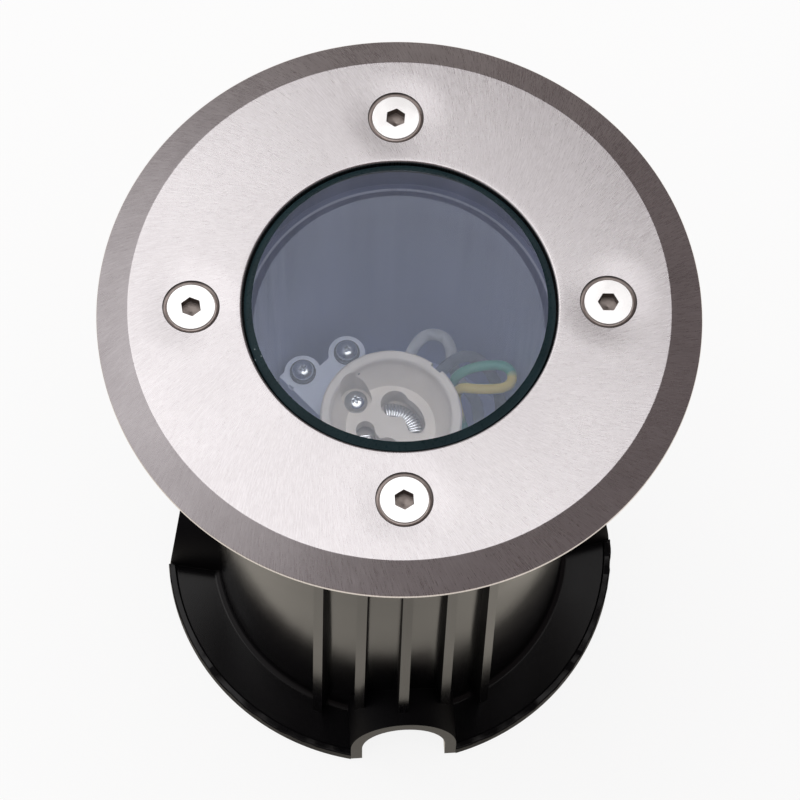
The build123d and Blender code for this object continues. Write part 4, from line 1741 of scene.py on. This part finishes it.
@dataclass
class Bracket:
    """The pressed bracket, with its washers and screws."""

    sheet: NodePiece = NodePiece("holder_bracket", "bracket", sheet_plate, 0.25 * MM, steps=3)
    ears: tuple[Station, ...] = ((22.7 * MM, 2.4 * MM), (19.8 * MM, -6.9 * MM))
    heading: float = 130.0
    screw_head: float = 2.15 * MM
    screw_length: float = 8.0 * MM
    screw_spins: tuple[float, ...] = (25.0, 70.0, 5.0, 48.0)
    washer: float = 2.6 * MM
    washer_bore: float = 1.6 * MM
    washer_edge: float = 0.1 * MM
    washer_segments: int = 64

    def seats(self) -> list[Station]:
        """Places of the four bracket screws.

        Returns:
            Their centres, on either side of the lampholder.
        """
        made = []
        for side in (1, -1):
            for along, across in self.ears:
                turned = Vector((side * along, side * across))
                turned.rotate(Matrix.Rotation(math.radians(self.heading), 2))
                made.append((Lampholder.centre[0] + turned.x, Lampholder.centre[1] + turned.y))
        return made

    def build(self) -> None:
        """Refine the bracket, turn its washers, set its screws and dress them."""
        self.sheet.build()
        under, seat = low("bracket_washers").z, high("bracket_washers").z
        bore, rim = self.washer_bore, self.washer
        profile = [(bore, under), (rim, under), (rim, seat), (bore, seat)]
        turned = [turn("washer", profile, place, self.washer_segments, ring=True) for place in self.seats()]
        washers = join("bracket_washer_set", turned)
        soften(washers, self.washer_edge)
        shade(washers)
        # painted shade: the washers are near black to stand for the shadow gap round the heads
        mount(washers, washer_shadow_steel, "bracket_washers")
        seats = [(x, y, seat) for x, y in self.seats()]
        screw = PanScrew(head=self.screw_head)
        screw.set_at("bracket_screw", seats, self.screw_length, "bracket_screws", self.screw_spins)


@dataclass
class TerminalBlock:
    """The white terminal block with its tubes, screws, earth lug and earth screw."""

    pieces: tuple[NodePiece, ...] = (
        NodePiece("terminal_block", "connector", white_nylon, 0.25 * MM),
        NodePiece("terminal_inserts", "connector_tubes", brass, 0.1 * MM),
        NodePiece("clamp_screws", "connector_screws", screw_plate, 0.08 * MM),
        NodePiece("earth_lug", "earth_tag", bright_contact, 0.12 * MM),
    )
    screws: tuple[tuple[str, str, float], ...] = (
        ("block_screw", "connector_screw", 30.0),
        ("earth_screw", "earth_tag_screw", 75.0),
    )

    def build(self) -> None:
        """Refine and dress each piece, and set the two screws."""
        for piece in self.pieces:
            piece.build()
        for node, name, spin in self.screws:
            first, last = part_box(node)
            screw = PanScrew()
            seat = ((first.x + last.x) / 2, (first.y + last.y) / 2, last.z - screw.height)
            screw.set_at(name, [seat], seat[2] - first.z, node, [spin])


@dataclass
class Lead:
    """One insulated lead along a given route."""

    UV_NAME = "UVMap"
    name: str
    node: str
    diameter: float
    route: tuple[Point, ...]
    finish: Finish
    facets: int = 6
    steps: int = 24

    def build(self) -> None:
        """Draw the route as a curve, make it a mesh and dress it."""
        curve = bpy.data.curves.new(self.name, "CURVE")
        curve.dimensions = "3D"
        curve.bevel_depth = self.diameter / 2
        curve.bevel_resolution = self.facets
        curve.resolution_u = self.steps
        curve.use_fill_caps = True
        spline = curve.splines.new("NURBS")
        spline.points.add(len(self.route) - 1)
        for point, place in zip(spline.points, self.route):
            point.co = (*[part * MM for part in place], 1.0)
        spline.order_u = 3
        spline.use_endpoint_u = True
        take(put_in(self.name, curve))
        bpy.ops.object.convert(target="MESH")
        lead = bpy.context.object
        drop_slivers(lead)
        shade(lead, angle=50)
        mount(lead, self.finish, self.node)


@dataclass
class Leads:
    """The two sleeved leads of the lampholder and the earth lead, their routes in millimetres."""

    sleeved: float = 2.3 * MM
    bare: float = 2.0 * MM
    hoop: tuple[Point, ...] = (
        (2.23, 11.25, 64.6),
        (5.0, 20.6, 64.6),
        (12.4, 20.9, 63.8),
        (12.6, 13.6, 60.0),
        (17.4, 12.8, 49.6),
        (18.4, 12.2, 41.6),
        (18.4, 7.5, 41.6),
    )
    short: tuple[Point, ...] = (
        (6.94, 8.82, 64.6),
        (11.0, 14.0, 64.6),
        (15.6, 15.8, 65.2),
        (19.6, 13.6, 63.4),
        (22.2, 12.4, 52.6),
        (23.0, 12.0, 41.6),
        (23.0, 7.5, 41.6),
    )
    earth: tuple[Point, ...] = (
        (13.8, 7.5, 41.6),
        (13.8, 11.1, 42.0),
        (12.7, 11.4, 54.0),
        (12.2, 10.4, 66.8),
        (17.4, 12.0, 68.0),
        (23.8, 11.7, 67.8),
        (23.8, 6.9, 67.8),
        (17.4, 6.6, 68.2),
        (12.6, 8.0, 67.2),
        (12.8, 6.4, 59.9),
        (15.6, 0.6, 52.6),
        (22.3, -6.5, 53.0),
        (22.3, -6.5, 46.0),
    )

    def build(self) -> None:
        """Build the three leads."""
        Lead("sleeved_lead_hoop", "lead_hoop", self.sleeved, self.hoop, sleeving).build()
        # painted shade: the short lead is dressed in a darkened copy of the white sleeving
        Lead("sleeved_lead_short", "lead_short", self.sleeved, self.short, painted_shade_sleeving).build()
        Lead("green_yellow_lead", "earth_lead", self.bare, self.earth, earth_cover).build()


@dataclass
class Gland:
    """The nylon cable gland in the housing's floor."""

    pieces: tuple[NodePiece, ...] = (
        NodePiece("gland_body", "gland_stem", gland_nylon, 0.25 * MM),
        NodePiece("gland_nut", "gland_dome_nut", gland_nylon, 0.4 * MM),
        NodePiece("gland_locknut", "gland_lock_ring", gland_nylon, 0.3 * MM),
        NodePiece("gland_seal", "gland_sleeve_seal", black_rubber, 0.3 * MM),
        NodePiece("gland_oring", "gland_ring_seal", black_rubber, 0.2 * MM),
    )

    def build(self) -> None:
        """Refine and dress each piece."""
        for piece in self.pieces:
            piece.build()


@dataclass
class GroundSleeve:
    """The moulded ground sleeve, with ribs and four cable tunnels."""

    bore: float = 34.0 * MM
    wall: float = 36.5 * MM
    collar: float = 48.8 * MM
    collar_bore: float = 46.6 * MM
    collar_foot: float = 111.5 * MM
    shoulder_foot: float = 103.0 * MM
    shoulder_wall: float = 1.5 * MM
    base: float = 47.4 * MM
    base_thickness: float = 2.0 * MM
    bead_width: float = 1.5 * MM
    bead_height: float = 0.5 * MM
    tunnel_width: float = 22.0 * MM
    tunnel_height: float = 16.0 * MM
    tunnel_wall: float = 2.35 * MM
    tunnel_start: float = 30.0 * MM
    tunnel_reach: float = 46.0 * MM
    tunnel_lean: float = 6.0
    tunnel_sides: int = 96
    headings: tuple[float, ...] = (-90.0, 12.0, 90.0, 168.0)
    rib_headings: tuple[float, ...] = (-90.0, 90.0)
    rib_angles: tuple[float, ...] = (-26.0, -13.0, 0.0, 13.0, 26.0)
    rib_width: float = 2.0 * MM
    rib_foot: float = 40.0 * MM
    middle_rib_foot: float = 42.2 * MM
    rib_root: float = 0.4 * MM
    rib_top: float = 105.0 * MM
    rib_top_radius: float = 38.0 * MM
    corner_rounds: tuple[tuple[int, float], ...] = (
        (2, 0.4 * MM),
        (3, 0.22 * MM),
        (4, 0.22 * MM),
        (5, 1.5 * MM),
        (6, 1.0 * MM),
        (7, 1.2 * MM),
        (8, 0.4 * MM),
        (9, 0.3 * MM),
        (10, 0.6 * MM),
        (11, 0.8 * MM),
    )
    edge: float = 0.32 * MM
    spare: float = 2.0 * MM
    segments: int = 288
    off_wall: float = 0.05 * MM
    rib_side_turn: float = 0.4
    rib_side_rise: float = 0.3
    tunnel_side_turn: float = 0.5
    flash_width: float = 0.6 * MM
    flash_foot: float = 0.2 * MM
    flash_top: float = 1.0 * MM
    flash_size: float = 2.2 * MM
    flash_depth: float = 0.5 * MM
    flash_level: float = 0.62

    def build(self) -> None:
        """Model the sleeve and dress it."""
        sleeve = self.lathe_work()
        wide, tall = self.tunnel_width, self.tunnel_height
        arches = [self.arch(heading, wide, tall, 0.0) for heading in self.headings]
        combine(sleeve, join("arches", arches), Cut.ADD)
        mouths = [self.mouth(heading) for heading in self.headings]
        combine(sleeve, join("mouths", mouths), Cut.REMOVE)
        ribs = [
            self.rib(heading + angle, self.rib_foot if angle else self.middle_rib_foot)
            for heading in self.rib_headings
            for angle in self.rib_angles
        ]
        combine(sleeve, join("ribs", ribs), Cut.ADD)
        slim, lower = wide - 2 * self.tunnel_wall, tall - self.tunnel_wall
        bores = [self.arch(heading, slim, lower, -self.spare) for heading in self.headings]
        combine(sleeve, join("bores", bores), Cut.REMOVE)
        core = rod("core", self.bore, (0, 0, tall), 4 * tall, self.segments)
        combine(sleeve, core, Cut.REMOVE)
        self.roughen_rim(sleeve)
        soften(sleeve, self.edge, steps=3, angle=40)
        drop_slivers(sleeve)
        shade(sleeve, angle=35)
        mount(sleeve, sleeve_plastic, "ground_sleeve", Body.SLEEVE)
        self.dull_sides(sleeve)

    def lathe_work(self) -> Piece:
        """Turn the tube, its collar and its base as one ring.

        Returns:
            The ring.
        """
        top = high("ground_sleeve").z
        bead = self.base_thickness + self.bead_height
        profile = [
            (self.bore, 0.0),
            (self.base, 0.0),
            (self.base, bead),
            (self.base - self.bead_width, bead),
            (self.base - self.bead_width, self.base_thickness),
            (self.wall, self.base_thickness),
            (self.wall, self.shoulder_foot),
            (self.collar, self.collar_foot),
            (self.collar, top),
            (self.collar_bore, top),
            (self.collar_bore, self.collar_foot + self.shoulder_wall),
            (self.bore, self.shoulder_foot + self.shoulder_wall),
        ]
        outline = rounded(profile, dict(self.corner_rounds))
        return turn("sleeve", outline, segments=self.segments, ring=True)

    def arch(self, heading: float, width: float, height: float, foot: float) -> Piece:
        """An arched bar that runs out from the axis along the floor, past the rim.

        Args:
            heading: Its direction, in degrees from +X.
            width: Its width.
            height: Height of its crown.
            foot: Height of its underside.

        Returns:
            The bar.
        """
        leg = height - width / 2
        start, reach = self.tunnel_start, self.base + self.spare
        middle = (start + (reach - start) / 2, 0, leg)
        crown = rod("arch", width / 2, middle, reach - start, self.tunnel_sides, (0, 90, 0))
        legs = block("legs", (start, -width / 2, foot), (reach, width / 2, leg))
        combine(crown, legs, Cut.ADD)
        below = block("below", (0, -width, foot - width), (reach + width, width, foot))
        combine(crown, below, Cut.REMOVE)
        return head_towards(crown, heading)

    def mouth(self, heading: float) -> Piece:
        """The tool that trims a tunnel and the base before it to the tunnel's leaning end.

        Args:
            heading: The tunnel's direction, in degrees from +X.

        Returns:
            The tool.
        """
        half = self.tunnel_width / 2 + HAIR
        foot, top = -self.spare, self.tunnel_height + self.spare
        slope = math.tan(math.radians(self.tunnel_lean))
        tool = block("mouth", (self.tunnel_reach, -half, foot), (self.base + 2 * self.spare, half, top))
        for height in (foot, top):
            pick(tool, lambda place: place.x < self.base and abs(place.z - height) < self.spare / 2)
            bpy.ops.transform.translate(value=(-height * slope, 0, 0))
        bpy.ops.object.mode_set(mode="OBJECT")
        return head_towards(tool, heading)

    def rib(self, heading: float, foot: float) -> Piece:
        """One drafted rib on the wall.

        Args:
            heading: Its direction, in degrees from +X.
            foot: How far its foot reaches out from the axis.

        Returns:
            The rib.
        """
        half = self.rib_width / 2
        root = self.wall - self.rib_root
        start = (root - self.rib_root / 2, -half, self.base_thickness / 2)
        rib = block("rib", start, (foot, half, self.rib_top))
        pick(rib, lambda place: place.x > root and place.z > self.rib_top / 2)
        bpy.ops.transform.translate(value=(self.rib_top_radius - foot, 0, 0))
        bpy.ops.object.mode_set(mode="OBJECT")
        return head_towards(rib, heading)

    def dull_sides(self, sleeve: Piece) -> None:
        """Give the sides of the ribs, the tunnels and the rim a matt copy of the plastic that mirrors little:
        partly a matt skin, partly painted shade that keeps them dark.

        Args:
            sleeve: The finished sleeve.
        """
        # painted shade, partly a matt skin: these sides get the plastic's copy that mirrors little
        sleeve.data.materials.append(painted_shade_plastic.material())
        bead = self.base_thickness + self.bead_height
        for side in sleeve.data.polygons:
            away, height = side.center.xy.length, side.center.z
            outward = abs(side.normal.xy.dot(side.center.xy.normalized()))
            on_rib = away < self.middle_rib_foot and self.tunnel_height < height < self.shoulder_foot
            rib_side = on_rib and outward < self.rib_side_turn and abs(side.normal.z) < self.rib_side_rise
            on_tunnel = bead < height < self.tunnel_height + self.edge
            tunnel_side = on_tunnel and outward < self.tunnel_side_turn
            rim = away > self.base - self.edge and height < bead
            if away > self.wall + self.off_wall and (rib_side or tunnel_side or rim):
                side.material_index = 1

    def roughen_rim(self, sleeve: Piece) -> None:
        """Leave the small nicks and flash of a moulding on the rim of the base.

        Args:
            sleeve: The sleeve, before its edges are broken.
        """
        inside, top = self.base - self.flash_width, self.base_thickness + self.flash_top
        group = sleeve.vertex_groups.new(name="rim")
        rim = [
            vertex.index
            for vertex in sleeve.data.vertices
            if vertex.co.xy.length > inside and self.flash_foot < vertex.co.z < top
        ]
        group.add(rim, 1.0, "REPLACE")
        grain = bpy.data.textures.new("rim_flash", "CLOUDS")
        grain.noise_scale = self.flash_size
        modify(
            sleeve,
            "DISPLACE",
            texture=grain,
            strength=self.flash_depth,
            mid_level=self.flash_level,
            direction="NORMAL",
            vertex_group="rim",
        )
        sleeve.vertex_groups.clear()


# ------------------------------------------------------------------------------------ studio


@dataclass
class Studio:
    """The pale floor, the soft lights, the surroundings and the camera, in metres."""

    camera_place: Point = (-0.02676, -0.25781, 0.71215)
    camera_right: Point = (0.99779, -0.06414, 0.01745)
    camera_up: Point = (0.05266, 0.92296, 0.38130)
    camera_range: Station = (0.01, 20.0)
    lens: float = 158.6
    sensor: float = 36.0
    floor_size: float = 4.0
    floor_drop: float = 0.02 * MM
    floor_colour: Colour = (0.95, 0.95, 0.945)
    floor_roughness: float = 0.9
    floor_veil: float = 0.87
    floor_glow: Colour = (1.0, 0.92, 0.8)
    white: Colour = (1.0, 1.0, 1.0)
    key_edge: Point = (0.073, 0.295, 0.68)
    key_heading: float = 47.0
    key_depth: float = 0.4
    key_sides: Station = (-0.34, 0.42)
    key_strength: float = 1.2
    glow_heading: Point = (-0.78, 0.22, 0.58)
    glow_span: Station = (0.4, 1.0)
    glow_falloff: float = 1.3
    room_dark: Colour = (0.142, 0.117, 0.116)
    room_light: Colour = (0.71, 0.675, 0.68)
    room_ground: Colour = (0.85, 0.85, 0.85)
    horizon: Station = (0.02, -0.06)
    fill_size: float = 2.4
    fill_height: float = 1.6
    fill_strength: float = 0.95

    def build(self) -> None:
        """Set up the whole studio."""
        self.floor()
        self.key()
        fill = (self.fill_size, self.fill_size)
        self.lamp("fill", (0, 0, self.fill_height), fill, 0.0, self.fill_strength, False)
        self.surroundings()
        self.camera()
        bpy.context.scene.view_settings.view_transform = "Standard"

    def floor(self) -> None:
        """Lay the pale floor. It is nearly white to the eye and in mirrors, and still takes the shadow."""
        deselect()
        bpy.ops.mesh.primitive_plane_add(size=self.floor_size, location=(0, 0, -self.floor_drop))
        floor = name_new("floor")
        made = bpy.data.materials.new("floor_white")
        made.use_nodes = True
        graph = Graph(made.node_tree)
        shader = made.node_tree.nodes["Principled BSDF"]
        shader.inputs["Base Color"].default_value = (*self.floor_colour, 1.0)
        shader.inputs["Roughness"].default_value = self.floor_roughness
        path = graph.add("ShaderNodeLightPath").outputs
        mirrored = graph.math("MAXIMUM", path["Is Glossy Ray"], path["Is Transmission Ray"])
        looked_at = graph.math("MAXIMUM", path["Is Camera Ray"], mirrored)
        veil = graph.add("ShaderNodeEmission")
        graph.feed(veil.inputs["Color"], graph.blend(mirrored, self.white, self.floor_glow))
        mixed = graph.mix_shaders(graph.times(looked_at, self.floor_veil), shader, veil)
        graph.feed(made.node_tree.nodes["Material Output"].inputs["Surface"], mixed)
        floor.data.materials.append(made)

    def key(self) -> None:
        """Hang the key lamp, which the metal mirrors, with its near edge over the bezel's far side."""
        ahead = Vector(polar(1.0, self.key_heading))
        aside = Vector(polar(1.0, self.key_heading + 90))
        first, last = self.key_sides
        middle = Vector(self.key_edge[:2]) - ahead * self.key_depth / 2 + aside * (first + last) / 2
        place = (*middle, self.key_edge[2])
        self.lamp("key", place, (self.key_depth, last - first), self.key_heading, self.key_strength, True)

    def lamp(
        self, name: str, place: Point, size: Station, heading: float, strength: float, glossy: bool
    ) -> None:
        """Hang a soft lamp that faces down.

        Args:
            name: The lamp's name.
            place: Its middle.
            size: Its depth along its heading, and its width.
            heading: Its turn about +Z, in degrees.
            strength: Brightness of its face, where 1 is white.
            glossy: False to keep it out of reflections.
        """
        light = bpy.data.lights.new(name, "AREA")
        light.shape = "RECTANGLE"
        light.size, light.size_y = size
        light.energy = strength * math.pi * size[0] * size[1]
        lamp = put_in(name, light)
        lamp.location = place
        lamp.rotation_euler = (0, 0, math.radians(heading))
        lamp.visible_camera = False
        lamp.visible_glossy = glossy

    def surroundings(self) -> None:
        """White for the eye, and a dim grey room with a soft glow for the object."""
        world = bpy.data.worlds.new("studio")
        bpy.context.scene.world = world
        world.use_nodes = True
        world.node_tree.nodes.clear()
        graph = Graph(world.node_tree)
        way = graph.add("ShaderNodeTexCoord").outputs["Generated"]
        toward_glow = graph.vector("DOT_PRODUCT", way, Vector(self.glow_heading).normalized())
        glow = graph.math("POWER", graph.remap(toward_glow, *self.glow_span), self.glow_falloff)
        room = graph.blend(glow, self.room_dark, self.room_light)
        below = graph.remap(graph.split(way)[2], *self.horizon)
        room = graph.blend(below, room, self.room_ground)
        camera_ray = graph.add("ShaderNodeLightPath").outputs["Is Camera Ray"]
        background = graph.add("ShaderNodeBackground")
        graph.feed(background.inputs["Color"], graph.blend(camera_ray, room, self.white))
        output = graph.add("ShaderNodeOutputWorld")
        graph.feed(output.inputs["Surface"], background.outputs[0])

    def camera(self) -> None:
        """Set the camera at the photograph's angle."""
        data = bpy.data.cameras.new("camera")
        data.lens = self.lens
        data.sensor_width = self.sensor
        data.clip_start, data.clip_end = self.camera_range
        camera = put_in("camera", data)
        right, up = Vector(self.camera_right), Vector(self.camera_up)
        axes = Matrix((right, up, right.cross(up))).transposed()
        camera.matrix_world = Matrix.Translation(self.camera_place) @ axes.to_4x4()
        bpy.context.scene.camera = camera


def main() -> None:
    """Build every sub-assembly in order, then the studio."""
    logging.basicConfig(level=logging.INFO, format="%(name)s: %(message)s")
    deselect()
    assemblies = (
        Bezel(),
        BezelScrews(),
        Lens(),
        NodePiece("housing_can", "housing", housing_coat, 0.3 * MM),
        Lampholder(),
        Bracket(),
        TerminalBlock(),
        Leads(),
        Gland(),
        GroundSleeve(),
        Studio(),
    )
    for assembly in assemblies:
        assembly.build()


if __name__ == "__main__":
    main()
